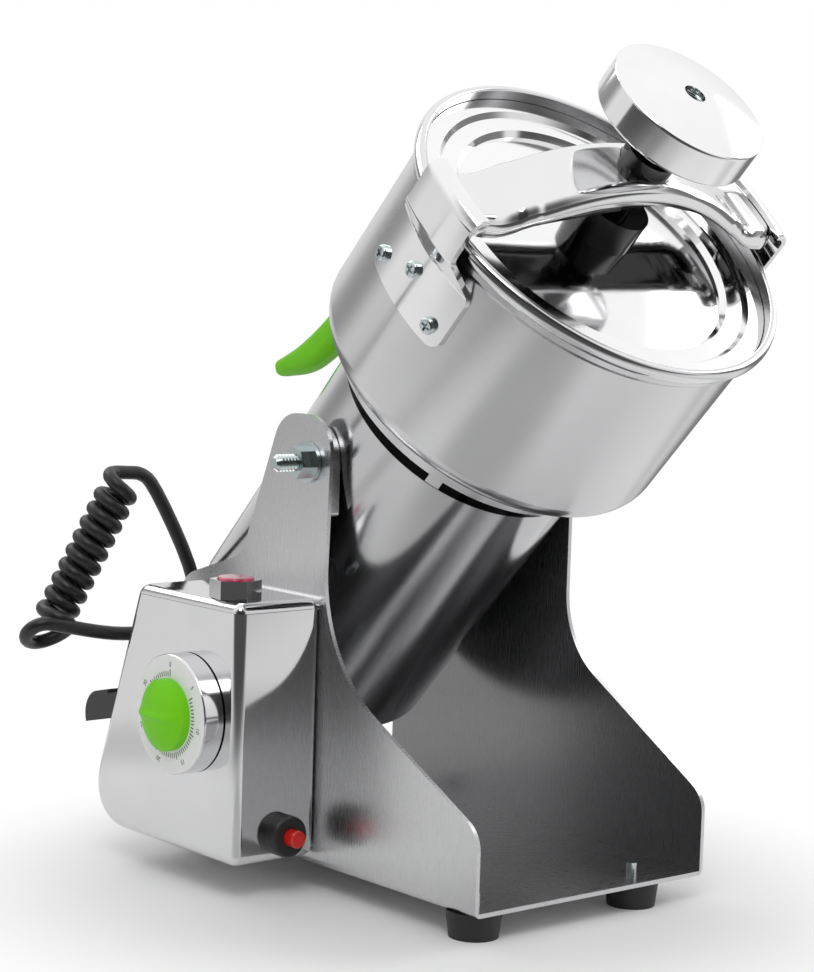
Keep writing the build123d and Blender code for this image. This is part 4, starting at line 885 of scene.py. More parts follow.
@dataclass(frozen=True)
class LaminateFinish(Finish):
    """Stacked or wound metal: thin layers with a dark gap between them.

    Attributes:
        colour: Colour of the layers.
        gap: Colour between them.
        pitch: How closely the layers lie.
        rough: Roughness.
        wave: How unevenly they lie.
        relief: Strength of their relief.
        relief_height: Height of that relief, in millimetres.
        film_scale: How fine the film is.
        film: How much the roughness wanders.
    """

    colour: Colour
    gap: Colour
    pitch: float
    rough: float
    wave: float = 0.6
    relief: float = 0.4
    relief_height: float = 0.2
    film_scale: float = 40.0
    film: float = 0.3

    def paint(self, shader: PieceShader) -> None:
        """Sets up the layers across the head's axis.

        Args:
            shader: The material under construction.
        """
        wave = shader.add("ShaderNodeTexWave", bands_direction="Z")
        wave.inputs["Scale"].default_value = self.pitch
        wave.inputs["Distortion"].default_value = self.wave
        shader.feed(wave.inputs["Vector"], shader.in_head())
        layer = wave.outputs["Fac"]
        shader.set(Metallic=1.0)
        shader.set(Base_Color=shader.mix(layer, (*self.gap, 1.0), (*self.colour, 1.0)))
        film = shader.film(self.film_scale, self.film)
        shader.set(Roughness=shader.math("MULTIPLY", film, self.rough))
        shader.set(Normal=shader.bump(layer, self.relief, self.relief_height))


FINISHES: dict[FinishName, Finish] = {
    # The stand's inner faces take a darker colour: painted shade between the plates.
    FinishName.STAND: Steel(
        (0.63, 0.63, 0.64), 0.27, Grain.SHEET, 0.18, 4200.0, 0.45, 0.15, inner=(0.23, 0.23, 0.235)
    ),
    FinishName.BOWL: Steel((0.66, 0.66, 0.67), 0.20, Grain.SPUN, 0.15, 4200.0, 0.55, 0.15),
    # The ring is painted dark inside 71.3 mm: painted shade in its slots and on its inner wall.
    FinishName.RING: Steel((0.66, 0.66, 0.67), 0.26, Grain.SPUN, 0.2, 4200.0, 0.3, 0.3, dark_within=71.3),
    # The tube is painted dark above 36.4 mm: painted shade behind the ring's slots.
    FinishName.TUBE: Steel((0.56, 0.56, 0.57), 0.14, Grain.SPUN, 0.15, 4200.0, 0.55, 0.15, dark_above=36.4),
    # The lid, knob and lugs take a lighter copy of the polished steel than the box: painted light and shade,
    # not a different steel.
    FinishName.POLISHED: Steel((0.86, 0.86, 0.865), 0.09),
    FinishName.BOX: Steel((0.72, 0.72, 0.73), 0.09),
    # Near-black steel for the bush, spindle and socket: painted shade under the clamp bar.
    FinishName.SHADED: Steel((0.10, 0.10, 0.102), 0.16),
    # The bar's channel inside is painted near black: painted shade under the bar.
    FinishName.PRESSED: Steel((0.80, 0.80, 0.805), 0.09, mark=SHADE_ATTRIBUTE),
    FinishName.RIM: Steel((0.74, 0.74, 0.75), 0.12),
    FinishName.FASTENER: Steel((0.60, 0.66, 0.67), 0.18, film=0.5),
    FinishName.BLADE: Steel((0.66, 0.66, 0.67), 0.22, Grain.SHEET, 0.30, 3000.0, 0.4),
    FinishName.GREEN: Moulding((0.165, 0.60, 0.004), 0.42, 1600.0, 0.10, 0.25, shine=0.25),
    FinishName.DIAL: DialFinish(),
    FinishName.BEZEL: Steel((0.76, 0.76, 0.77), 0.08),
    FinishName.LAMP: LensFinish(),
    FinishName.BUTTON: Moulding((0.57, 0.010, 0.005), 0.30, 1500.0, 0.08, 0.3, coat=0.3),
    FinishName.BLACK: Moulding((0.013, 0.013, 0.013), 0.42, 1300.0, 0.20, 0.4),
    FinishName.CORD: Moulding((0.012, 0.012, 0.012), 0.40, 900.0, 0.12, 0.5),
    FinishName.FOOT: Moulding((0.012, 0.012, 0.012), 0.55, 900.0, 0.25, 0.4),
    FinishName.GASKET: Moulding((0.55, 0.55, 0.54), 0.55, 900.0, 0.15, 0.3),
    FinishName.IRON: LaminateFinish((0.22, 0.22, 0.23), (0.05, 0.05, 0.05), 60.0, 0.45),
    FinishName.WINDING: LaminateFinish((0.55, 0.25, 0.10), (0.16, 0.05, 0.02), 75.0, 0.32),
    FinishName.ALLOY: Steel((0.60, 0.60, 0.61), 0.45, film=0.5),
    # Near-black alloy for the upper bracket: painted shade seen through the ring's slots.
    FinishName.BRACKET: Steel((0.012, 0.012, 0.012), 0.55, film=0.5),
    FinishName.SHAFT: Steel((0.60, 0.60, 0.61), 0.20, Grain.SPUN, 0.3, 3000.0, 0.3),
    FinishName.CARBON: Moulding((0.03, 0.03, 0.03), 0.60, 800.0, 0.3, 0.4),
}


class Library:
    """The finished materials by name."""

    def __init__(self, place: Place) -> None:
        """Builds every material once.

        Args:
            place: Where the machine stands.
        """
        effects = Effects()
        self.made = {name: finish.make(name.value, effects, place) for name, finish in FINISHES.items()}

    def put(self, piece: Piece, name: FinishName) -> None:
        """Dresses a piece in a finish.

        Args:
            piece: The piece to dress.
            name: The finish.
        """
        piece.data.materials.clear()
        piece.data.materials.append(self.made[name])


def deselect() -> None:
    """Deselects everything, so that an operator acts on the new piece alone."""
    if bpy.context.object is not None and bpy.context.object.mode != "OBJECT":
        bpy.ops.object.mode_set(mode="OBJECT")
    bpy.ops.object.select_all(action="DESELECT")


def pick(*pieces: Piece) -> None:
    """Selects these pieces alone, the first one active.

    Args:
        *pieces: The pieces to select.
    """
    deselect()
    for piece in pieces:
        piece.select_set(True)
    bpy.context.view_layer.objects.active = pieces[0]


def settle(piece: Piece, frame: Matrix) -> Piece:
    """Puts a piece in its place and moves that place into its mesh.

    Args:
        piece: A mesh piece made about the origin.
        frame: Where it goes.

    Returns:
        The piece.
    """
    piece.matrix_world = frame @ piece.matrix_world
    pick(piece)
    bpy.ops.object.transform_apply(location=True, rotation=True, scale=True)
    return piece


def open_up() -> None:
    """Opens the active piece in edit mode with all of it selected."""
    bpy.ops.object.mode_set(mode="EDIT")
    bpy.ops.mesh.select_all(action="SELECT")


def close_up(edge: float) -> None:
    """Turns the faces of the piece in edit mode outwards, and smooths it in object mode.

    Args:
        edge: Angle, in degrees, past which an edge stays sharp.
    """
    bpy.ops.mesh.select_all(action="SELECT")
    bpy.ops.mesh.normals_make_consistent(inside=False)
    bpy.ops.object.mode_set(mode="OBJECT")
    bpy.ops.object.shade_smooth_by_angle(angle=math.radians(edge))


def turned(name: str, profile: list[tuple[float, float]], segments: int) -> Piece:
    """Models a turned piece by drawing a ring out along Z, ring after ring.

    Args:
        name: The piece's name.
        profile: Radius and height of each ring, in millimetres.
        segments: Sides of each ring.

    Returns:
        The piece, about the Z axis, closed at its last ring.
    """
    deselect()
    radius, height = profile[0]
    bpy.ops.mesh.primitive_circle_add(vertices=segments, radius=radius * MM, location=(0, 0, 0))
    piece = bpy.context.object
    piece.name = name
    open_up()
    bpy.ops.transform.translate(value=(0, 0, height * MM))
    for (before, low), (after, high) in zip(profile, profile[1:]):
        bpy.ops.mesh.extrude_edges_move(TRANSFORM_OT_translate={"value": (0, 0, (high - low) * MM)})
        share = after / before
        bpy.ops.transform.resize(value=(share, share, 1), center_override=(0, 0, high * MM))
    bpy.ops.mesh.edge_face_add()
    close_up(TURNED_EDGE)
    return piece


def glide(rows: tuple[tuple[float, ...], ...], share: float) -> tuple[float, ...]:
    """Runs smoothly through rows of sizes.

    Args:
        rows: The sizes at even steps.
        share: How far along, from 0 to 1.

    Returns:
        The sizes there.
    """
    at = share * (len(rows) - 1)
    i = min(int(at), len(rows) - 2)
    t = at - i
    around = (rows[max(i - 1, 0)], rows[i], rows[i + 1], rows[min(i + 2, len(rows) - 1)])
    return tuple(
        0.5 * (2 * b + (c - a) * t + (2 * a - 5 * b + 4 * c - d) * t * t + (3 * b - a - 3 * c + d) * t**3)
        for a, b, c, d in zip(*around)
    )


def formed(name: str, steps: Cells, shape: Callable[[float, float], Vector]) -> Piece:
    """Models a piece by bending a grid into its form.

    Args:
        name: The piece's name.
        steps: Cells of the grid each way.
        shape: Gives the point, in millimetres, for two shares from 0 to 1.

    Returns:
        The piece, closed, with its faces outwards.
    """
    deselect()
    bpy.ops.mesh.primitive_grid_add(x_subdivisions=steps[0], y_subdivisions=steps[1], size=2.0)
    piece = bpy.context.object
    piece.name = name
    for vertex in piece.data.vertices:
        vertex.co = shape((vertex.co.x + 1) / 2, (vertex.co.y + 1) / 2) * MM
    open_up()
    bpy.ops.mesh.remove_doubles(threshold=WELD)
    bpy.ops.mesh.fill_holes(sides=0)
    close_up(FORMED_EDGE)
    return piece


def choose(piece: Piece, test: Callable[[Vector], bool]) -> None:
    """Selects the points that pass a test, with the edges and faces between them, in edit mode.

    Args:
        piece: The piece to select on.
        test: Tells whether a point is wanted.
    """
    if piece.mode != "OBJECT":
        bpy.ops.object.mode_set(mode="OBJECT")
    mesh = piece.data
    for vertex in mesh.vertices:
        vertex.select = test(vertex.co)
    for part in (*mesh.edges, *mesh.polygons):
        part.select = all(mesh.vertices[i].select for i in part.vertices)
    bpy.ops.object.mode_set(mode="EDIT")


def bored(piece: Piece, bores: list[tuple[Matrix, float, float]]) -> Piece:
    """Bores round holes through a piece.

    Args:
        piece: The piece to bore.
        bores: Place, radius and length of each bore along its own Z, in millimetres.

    Returns:
        The bored piece.
    """
    cutters = []
    for place, radius, length in bores:
        profile = [(radius, -length / 2), (radius, length / 2)]
        cutter = turned("cutter", profile, BORE_SIDES)
        open_up()
        bpy.ops.mesh.fill_holes(sides=0)
        bpy.ops.mesh.normals_make_consistent(inside=False)
        bpy.ops.object.mode_set(mode="OBJECT")
        cutters.append(settle(cutter, place))
    cutter = join("cutter", cutters)
    pick(piece)
    cut = piece.modifiers.new("bores", "BOOLEAN")
    cut.object = cutter
    cut.solver = "EXACT"
    bpy.ops.object.modifier_apply(modifier=cut.name)
    bpy.data.objects.remove(cutter)
    return piece


def join(name: str, pieces: list[Piece]) -> Piece:
    """Joins meshes into one piece.

    Args:
        name: The piece's name.
        pieces: The meshes to join.

    Returns:
        The joined piece.
    """
    pick(*pieces)
    bpy.ops.object.join()
    piece = bpy.context.object
    piece.name = name
    return piece


@dataclass(frozen=True)
class SoftBox:
    """A soft lamp.

    Attributes:
        name: Its name.
        spot: Its place in machine millimetres.
        size: Its side, in metres.
        power: Its power, in watts.
    """

    name: str
    spot: Point
    size: float
    power: float


@dataclass
class Studio:
    """Pale floor, soft light and the camera.

    Attributes:
        eye: Camera's place in machine millimetres.
        ahead: Where it looks.
        roll: Its turn about that line, in degrees.
        lens: Its focal length for a 36 mm sensor.
        near: Its nearest distance, in metres.
        light: Even light of the room.
        room: Fades of the room in reflections: up, to the front, to the flank and to the rear.
        floor_size: Side of the floor, in metres.
        floor_tone: Its tone.
        floor_rough: Its roughness.
        white_out: Distances from the machine over which the camera sees it turn white.
        pale_out: Distances over which reflections see it turn evenly pale.
        pale_tone: Its tone there.
        strip: Distances over which a dim strip in reflections starts and ends.
        strip_tone: Tone of the strip.
        patch: Middle of a dim patch in reflections.
        patch_reach: Distances from there over which it ends.
        patch_tone: Tone of the patch.
        floor_fades: Fades of the floor in reflections: to the camera, and behind to the right.
        aim: Where the lamps point, in machine millimetres.
        lamps: The lamps.
    """

    eye: Point = (-745.0, -874.5, 288.3)
    ahead: Point = (0.6402, 0.7628, -0.0910)
    roll: float = -1.79
    lens: float = 89.8
    near: float = 0.05
    light: float = 0.55
    room: tuple[Fade, ...] = (
        Fade((0.0, 0.0, 1.0), 0.10, 0.75, 1.08, before=0.80),
        Fade((-0.62, -0.76, 0.05), 0.36, 0.80, 0.05),
        Fade((0.93, -0.30, 0.22), 0.86, 0.97, 0.25),
        Fade((-0.15, 0.90, 0.45), 0.88, 0.98, 0.35),
    )
    floor_size: float = 12.0
    floor_tone: float = 0.93
    floor_rough: float = 0.7
    white_out: Range = (0.12, 0.26)
    pale_out: Range = (0.34, 0.64)
    pale_tone: float = 0.85
    strip: tuple[Range, Range] = ((0.34, 0.42), (0.44, 0.54))
    strip_tone: float = 0.75
    patch: Point = (-0.16, -0.12, 0.0)
    patch_reach: Range = (0.06, 0.14)
    patch_tone: float = 0.60
    floor_fades: tuple[Fade, ...] = (
        Fade((-0.64, -0.77, 0.0), 0.18, 0.50, 0.10),
        Fade((0.64, 0.77, 0.0), 0.30, 0.80, 0.25),
    )
    aim: Point = (0.0, 0.0, 180.0)
    lamps: tuple[SoftBox, ...] = (
        SoftBox("key_box", (-900.0, -900.0, 1500.0), 0.9, 9.0),
        SoftBox("side_box", (1300.0, -300.0, 900.0), 0.8, 5.0),
        SoftBox("back_box", (-300.0, 1300.0, 1300.0), 0.9, 5.0),
    )

    def build(self, place: Place) -> None:
        """Makes the stage.

        Args:
            place: Where the machine stands.
        """
        self._camera(place)
        self._world()
        self._floor()
        self._lamps(place)
        bpy.context.scene.view_settings.view_transform = "Standard"

    def _camera(self, place: Place) -> None:
        """Sets the camera at the fitted eye.

        Args:
            place: Where the machine stands.
        """
        ahead = Vector(self.ahead).normalized()
        right = ahead.cross(Vector((0, 0, 1))).normalized()
        down = ahead.cross(right)
        turn = math.radians(self.roll)
        side = right * math.cos(turn) + down * math.sin(turn)
        drop = down * math.cos(turn) - right * math.sin(turn)
        deselect()
        bpy.ops.object.camera_add()
        camera = bpy.context.object
        camera.name = "photo_camera"
        camera.data.lens = self.lens
        camera.data.clip_start = self.near
        basis = Matrix((side, -drop, -ahead)).transposed().to_4x4()
        camera.matrix_world = Matrix.Translation(place.point(*self.eye)) @ basis
        bpy.context.scene.camera = camera

    def _world(self) -> None:
        """Lights the scene evenly, shows white to the camera and a room with a dark side in reflections."""
        world = bpy.data.worlds.new("studio_white")
        bpy.context.scene.world = world
        world.use_nodes = True
        nodes = Nodes(world.node_tree)
        mirrored = nodes.tree.nodes["Background"]
        shown, light = (nodes.add("ShaderNodeBackground") for _ in range(2))
        for background in (mirrored, shown, light):
            background.inputs["Color"].default_value = WHITE
        ways = nodes.add("ShaderNodeTexCoord").outputs["Generated"]
        nodes.feed(mirrored.inputs["Strength"], nodes.faded(ways, 1.0, self.room))
        light.inputs["Strength"].default_value = self.light
        path = nodes.add("ShaderNodeLightPath").outputs
        bent = nodes.math("MAXIMUM", path["Is Glossy Ray"], path["Is Transmission Ray"])
        room = nodes.either(bent, light.outputs[0], mirrored.outputs[0])
        whole = nodes.either(path["Is Camera Ray"], room, shown.outputs[0])
        nodes.feed(nodes.tree.nodes["World Output"].inputs["Surface"], whole)

    def _floor(self) -> None:
        """Lays a pale floor that fades to white away from the machine."""
        deselect()
        bpy.ops.mesh.primitive_plane_add(size=self.floor_size)
        floor = bpy.context.object
        floor.name = "floor"
        shader = Shader("pale_floor")
        away = shader.vector("LENGTH", shader.spot).outputs["Value"]
        path = shader.add("ShaderNodeLightPath").outputs
        seen, mirrored = path["Is Camera Ray"], path["Is Glossy Ray"]
        level = self._mirrored(shader, away)
        plain = (*(self.floor_tone,) * 3, 1.0)
        shader.set(Base_Color=shader.mix(mirrored, plain, shader.mix(level, BLACK, WHITE)))
        shader.set(Roughness=self.floor_rough)
        pale = shader.mix(level, BLACK, (*(self.pale_tone,) * 3, 1.0))
        glow = shader.add("ShaderNodeEmission")
        shader.feed(glow.inputs["Color"], shader.mix(mirrored, WHITE, pale))
        white = shader.math("MULTIPLY", shader.spread(away, *self.white_out, 0.0, 1.0), seen)
        even = shader.math("MULTIPLY", shader.spread(away, *self.pale_out, 0.0, 1.0), mirrored)
        share = shader.math("ADD", white, even)
        whole = shader.either(share, shader.surface.outputs[0], glow.outputs[0])
        shader.feed(shader.tree.nodes["Material Output"].inputs["Surface"], whole)
        floor.data.materials.append(shader.material)

    def _mirrored(self, shader: Shader, away: Socket) -> Socket:
        """Gives the floor's tone in reflections.

        Args:
            shader: The floor's material.
            away: Distance from the machine.

        Returns:
            The tone's socket.
        """
        start, end = self.strip
        before = shader.spread(away, *start, 1.0, self.strip_tone)
        after = shader.spread(away, *end, self.strip_tone, 1.0)
        off = shader.vector("DISTANCE", shader.spot, self.patch).outputs["Value"]
        patch = shader.spread(off, *self.patch_reach, self.patch_tone, 1.0)
        level = shader.math("MULTIPLY", shader.math("MAXIMUM", before, after), patch)
        return shader.faded(shader.spot, level, self.floor_fades)

    def _lamps(self, place: Place) -> None:
        """Hangs the soft boxes.

        Args:
            place: Where the machine stands.
        """
        for box in self.lamps:
            deselect()
            bpy.ops.object.light_add(type="AREA", location=place.point(*box.spot))
            lamp = bpy.context.object
            lamp.name = box.name
            lamp.data.size = box.size
            lamp.data.energy = box.power
            lamp.rotation_mode = "QUATERNION"
            lamp.rotation_quaternion = (place.point(*self.aim) - lamp.location).to_track_quat("-Z", "Y")


@dataclass
class Dressed:
    """A sub-assembly whose CAD pieces take their finishes.

    Attributes:
        finishes: Finish of each CAD node.
    """

    finishes: dict[str, FinishName] = field(default_factory=dict)

    def dress(self, nodes: dict[str, Piece], library: Library) -> None:
        """Puts each CAD piece in its finish.

        Args:
            nodes: The CAD pieces by name.
            library: The finished materials.
        """
        for name, finish in self.finishes.items():
            library.put(nodes[name], finish)
            LOG.info("%s in %s", name, finish.value)


def finished(*groups: tuple[FinishName, str]) -> dict[str, FinishName]:
    """Gives a sub-assembly's table of finishes as a field.

    Args:
        *groups: A finish and the nodes that take it, parted by blanks.

    Returns:
        The field, with the finish of each node.
    """
    return field(default_factory=lambda: {node: finish for finish, nodes in groups for node in nodes.split()})


@dataclass
class StandSet(Dressed):
    """Bent stand with its feet."""

    finishes: dict[str, FinishName] = finished(
        (FinishName.STAND, "stand_bracket pivot_pads"),
        (FinishName.FOOT, "rubber_feet"),
        (FinishName.FASTENER, "foot_screws"),
    )


@dataclass
class PivotSet(Dressed):
    """Threaded studs the head hangs on, with their washers and nuts.

    Attributes:
        inner: Where a stud starts, from the middle of the stand, in millimetres.
        outer: Where it ends.
        thread_start: Where its thread starts.
        crest: Radius over the thread.
        root: Radius in its grooves.
        pitch: Thread pitch.
        groove: Share of the pitch at which a groove lies.
        ridge: Share of the pitch at which the next crest lies.
        bare: Length at the end without a whole thread.
        tip: Length of the end's chamfer.
        chamfer: Depth of that chamfer.
        sides: Sides of a stud.
    """

    finishes: dict[str, FinishName] = finished((FinishName.FASTENER, "pivot_washers pivot_nuts"))
    inner: float = 58.0
    outer: float = 90.0
    thread_start: float = 77.5
    crest: float = 4.0
    root: float = 2.9
    pitch: float = 1.8
    groove: float = 0.5
    ridge: float = 0.95
    bare: float = 1.0
    tip: float = 0.6
    chamfer: float = 0.5
    sides: int = 40

    def build(self, place: Place, library: Library) -> None:
        """Turns the two studs.

        Args:
            place: Where the machine stands.
            library: The finished materials.
        """
        profile = [(self.crest, self.inner), (self.crest, self.thread_start)]
        turns = int((self.outer - self.thread_start - self.bare) / self.pitch)
        for i in range(turns):
            low = self.thread_start + i * self.pitch
            profile.append((self.root, low + self.groove * self.pitch))
            profile.append((self.crest, low + self.ridge * self.pitch))
        profile += [(self.root, self.outer - self.tip), (self.root - self.chamfer, self.outer)]
        made = []
        for side in (1, -1):
            stud = turned("stud", profile, self.sides)
            turn = Matrix.Rotation(math.radians(90 * side), 4, "Y")
            made.append(settle(stud, Matrix.Translation(place.pivot) @ turn))
        studs = join("threaded_studs", made)
        library.put(studs, FinishName.FASTENER)
        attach(studs, "head")
        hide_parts("pivot_studs")
        LOG.info("threaded_studs turned")


@dataclass
class ControlBox(Dressed):
    """Control box with its timer, lamp and breaker.

    Attributes:
        ticks: Number of ticks from the start to the end of the scale.
        sweep: Angle of the scale, in degrees.
        tick_inner: Inner radius of the ticks, in millimetres.
        tick_length: Length of a short tick.
        tick_long: Length of a long tick.
        tick_width: Width of a tick.
        numbers: Numbers round the scale.
        number_radius: Radius of the numbers' middles.
        number_size: Height of the numbers.
        proud: How far the print stands off the face.
        grip_radius: Radius of the grip.
        grip_side: Height of the grip's side.
        grip_dome: How far its face swells.
        grip_ridge: Height of the ridge across it.
        ridge_half: Half width of the ridge.
        grip_foot: Share of the grip's grid that makes its side.
        dome_fall: How late its face falls towards the side.
        ridge_fall: How late the ridge dies out towards the side.
        grip_grid: Cells of the grip round its axis and from its foot to its middle.
        outer: Box's outer face, from the stand's middle.
        inner: Its open side on the stand's plate.
        front: Its front face.
        rear_foot: Its rear at the foot.
        rear_lean: How much less deep it is at the top.
        foot: Its underside.
        top: Its top.
        wall: Its sheet.
        edge: Radius of its edges.
        rear_run: How far its rounded rear corner reaches.
        rear_steps: Faces round that corner.
        edge_steps: Faces round an edge.
        sharp: Angle in degrees past which a fold counts as an edge.
        bore_length: Length of a bore.
        holes: Wall, middle and radius of the holes for the timer's shaft, lamp, breaker and two cords.
    """

    finishes: dict[str, FinishName] = finished(
        (FinishName.FASTENER, "box_screws"),
        (FinishName.ALLOY, "timer_movement"),
        (FinishName.BLACK, "breaker_collar breaker_body lamp_barrel cord_gland_box mains_gland"),
        (FinishName.BEZEL, "lamp_bezel"),
        (FinishName.LAMP, "lamp_lens"),
        (FinishName.DIAL, "timer_dial"),
        (FinishName.SHAFT, "timer_shaft"),
        (FinishName.BUTTON, "reset_button"),
    )
    ticks: int = 60
    sweep: float = 300.0
    tick_inner: float = 17.5
    tick_length: float = 2.2
    tick_long: float = 3.2
    tick_width: float = 0.46
    numbers: tuple[int, ...] = (0, 5, 10, 15, 20, 25, 30)
    number_radius: float = 22.9
    number_size: float = 3.1
    proud: float = 0.06
    grip_radius: float = 16.5
    grip_side: float = 4.2
    grip_dome: float = 4.9
    grip_ridge: float = 1.4
    ridge_half: float = 1.8
    grip_foot: float = 0.12
    dome_fall: int = 3
    ridge_fall: int = 8
    grip_grid: Cells = (96, 40)
    outer: float = -117.0
    inner: float = -70.0
    front: float = -13.0
    rear_foot: float = 110.0
    rear_lean: float = 42.5
    foot: float = 16.5
    top: float = 136.0
    wall: float = 1.2
    edge: float = 5.0
    rear_run: float = 31.2
    rear_steps: int = 14
    edge_steps: int = 6
    sharp: float = 25.0
    bore_length: float = 8.0
    holes: tuple[tuple[Wall, Point, float], ...] = (
        (Wall.SIDE, (-117.0, 23.0, 82.0), 6.0),
        (Wall.TOP, (-104.8, 6.5, 136.0), 5.1),
        (Wall.FRONT, (-89.7, -13.0, 29.0), 5.6),
        (Wall.REAR, (-80.0, 80.1, 100.5), 6.4),
        (Wall.REAR, (-100.0, 89.0, 75.5), 5.6),
    )

    def build(self, place: Place, library: Library) -> None:
        """Prints the timer's scale, forms its grip and folds the box.

        Args:
            place: Where the machine stands.
            library: The finished materials.
        """
        low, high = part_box("timer_dial")
        middle = Vector((low.x, (low.y + high.y) / 2, (low.z + high.z) / 2))
        face = Matrix(((0, 0, -1, middle.x), (-1, 0, 0, middle.y), (0, 1, 0, middle.z), (0, 0, 0, 1)))
        gaps = len(self.numbers) - 1
        made = [self._ring(self.ticks, self.tick_length), self._ring(gaps, self.tick_long)]
        for i, number in enumerate(self.numbers):
            made.append(self._number(number, self.sweep * i / gaps))
        marks = settle(join("dial_marks", made), face)
        library.put(marks, FinishName.BLACK)
        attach(marks, "timer_knob")
        grip = settle(formed("timer_grip_dome", self.grip_grid, self._grip), face)
        library.put(grip, FinishName.GREEN)
        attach(grip, "timer_knob")
        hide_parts("timer_grip")
        shell = self._shell(place)
        library.put(shell, FinishName.BOX)
        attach(shell, "stand")
        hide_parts("control_box")
        LOG.info("dial_marks printed, timer_grip_dome and control_box_shell formed")

    def _grip(self, turn: float, inward: float) -> Vector:
        """Gives a point of the grip: a domed disc with a soft ridge across it.

        Args:
            turn: Share of a turn round its axis.
            inward: Share of the way from its foot up its side and in over its face.

        Returns:
            The point in millimetres, on the dial's face.
        """
        side = self.grip_foot
        reach = 1.0 if inward < side else (1 - inward) / (1 - side)
        angle = 2 * math.pi * turn
        across = self.grip_radius * reach * math.cos(angle)
        up = self.grip_radius * reach * math.sin(angle)
        if inward < side:
            return Vector((across, up, self.grip_side * inward / side))
        crest = self.grip_ridge * math.exp(-((up / self.ridge_half) ** 2)) * (1 - reach**self.ridge_fall)
        return Vector((across, up, self.grip_side + self.grip_dome * (1 - reach**self.dome_fall) + crest))

    def _shell(self, place: Place) -> Piece:
        """Folds the box: a hollow block, open to the stand, with a leaning rear, round edges and its holes.

        Args:
            place: Where the machine stands.

        Returns:
            The shell.
        """
        deselect()
        bpy.ops.mesh.primitive_cube_add(size=1.0)
        piece = bpy.context.object
        piece.name = "control_box_shell"
        low = place.point(self.outer, self.front, self.foot)
        high = place.point(self.inner, self.rear_foot, self.top)
        open_up()
        bpy.ops.transform.resize(value=high - low)
        bpy.ops.transform.translate(value=(low + high) / 2)
        near = MM / 10
        choose(piece, lambda co: co.y > high.y - near and co.z > high.z - near)
        bpy.ops.transform.translate(value=(0, -self.rear_lean * MM, 0))
        choose(piece, lambda co: co.y > high.y - near)
        bpy.ops.mesh.bevel(offset=self.rear_run * MM, segments=self.rear_steps, affect="EDGES")
        bpy.ops.mesh.select_mode(type="EDGE")
        bpy.ops.mesh.select_all(action="DESELECT")
        bpy.ops.mesh.edges_select_sharp(sharpness=math.radians(self.sharp))
        bpy.ops.object.mode_set(mode="OBJECT")
        points = piece.data.vertices
        for edge in piece.data.edges:
            edge.select = edge.select and any(points[i].co.x < high.x - near for i in edge.vertices)
        bpy.ops.object.mode_set(mode="EDIT")
        bpy.ops.mesh.bevel(offset=self.edge * MM, segments=self.edge_steps, affect="EDGES")
        bpy.ops.mesh.select_mode(type="VERT")
        choose(piece, lambda co: co.x > high.x - near)
        bpy.ops.mesh.delete(type="ONLY_FACE")
        bpy.ops.object.mode_set(mode="OBJECT")
        bpy.ops.object.shade_smooth_by_angle(angle=math.radians(FORMED_EDGE))
        wall = piece.modifiers.new("wall", "SOLIDIFY")
        wall.thickness = self.wall * MM
        wall.offset = -1.0
        bpy.ops.object.modifier_apply(modifier=wall.name)
        bored(piece, self._bores(place))
        pick(piece)
        flats = piece.modifiers.new("flats", "WEIGHTED_NORMAL")
        flats.keep_sharp = True
        bpy.ops.object.modifier_apply(modifier=flats.name)
        return piece

    def _bores(self, place: Place) -> list[tuple[Matrix, float, float]]:
        """Lists the box's holes, each across its wall.

        Args:
            place: Where the machine stands.

        Returns:
            Place, radius and length of each hole.
        """
        quarter = math.pi / 2
        lean = math.atan(self.rear_lean / (self.top - self.foot))
        turns = {
            Wall.SIDE: Matrix.Rotation(quarter, 4, "Y"),
            Wall.TOP: Matrix.Identity(4),
            Wall.FRONT: Matrix.Rotation(quarter, 4, "X"),
            Wall.REAR: Matrix.Rotation(lean - quarter, 4, "X"),
        }
        bores = []
        for wall, spot, radius in self.holes:
            middle = Matrix.Translation(place.point(*spot))
            bores.append((middle @ turns[wall], radius, self.bore_length))
        return bores

    def _ring(self, count: int, length: float) -> Piece:
        """Models one tick and spins its copies round the scale.

        Args:
            count: Steps round the scale.
            length: Length of the tick.

        Returns:
            The ring of ticks, about Z.
        """
        deselect()
        reach = self.tick_inner + length / 2
        bpy.ops.mesh.primitive_cube_add(size=1.0, location=(0, 0, 0))
        piece = bpy.context.object
        open_up()
        bpy.ops.transform.resize(value=(self.tick_width * MM, length * MM, self.proud * MM))
        bpy.ops.transform.translate(value=(0, reach * MM, self.proud * MM / 2))
        turn = -math.radians(self.sweep)
        bpy.ops.mesh.spin(steps=count, dupli=True, angle=turn, center=(0, 0, 0), axis=(0, 0, 1))
        bpy.ops.object.mode_set(mode="OBJECT")
        return piece

    def _number(self, number: int, turn: float) -> Piece:
        """Sets one number upright to its tick.

        Args:
            number: The number.
            turn: Its angle from the top, in degrees.

        Returns:
            The number as a mesh, about Z.
        """
        deselect()
        bpy.ops.object.text_add(location=(0, 0, 0))
        text = bpy.context.object
        text.data.body = str(number)
        text.data.size = self.number_size * MM
        text.data.align_x = "CENTER"
        text.data.align_y = "CENTER"
        text.data.extrude = self.proud * MM / 2
        bpy.ops.object.convert(target="MESH")
        piece = bpy.context.object
        out = Matrix.Translation((0, self.number_radius * MM, self.proud * MM / 2))
        return settle(piece, Matrix.Rotation(-math.radians(turn), 4, "Z") @ out)


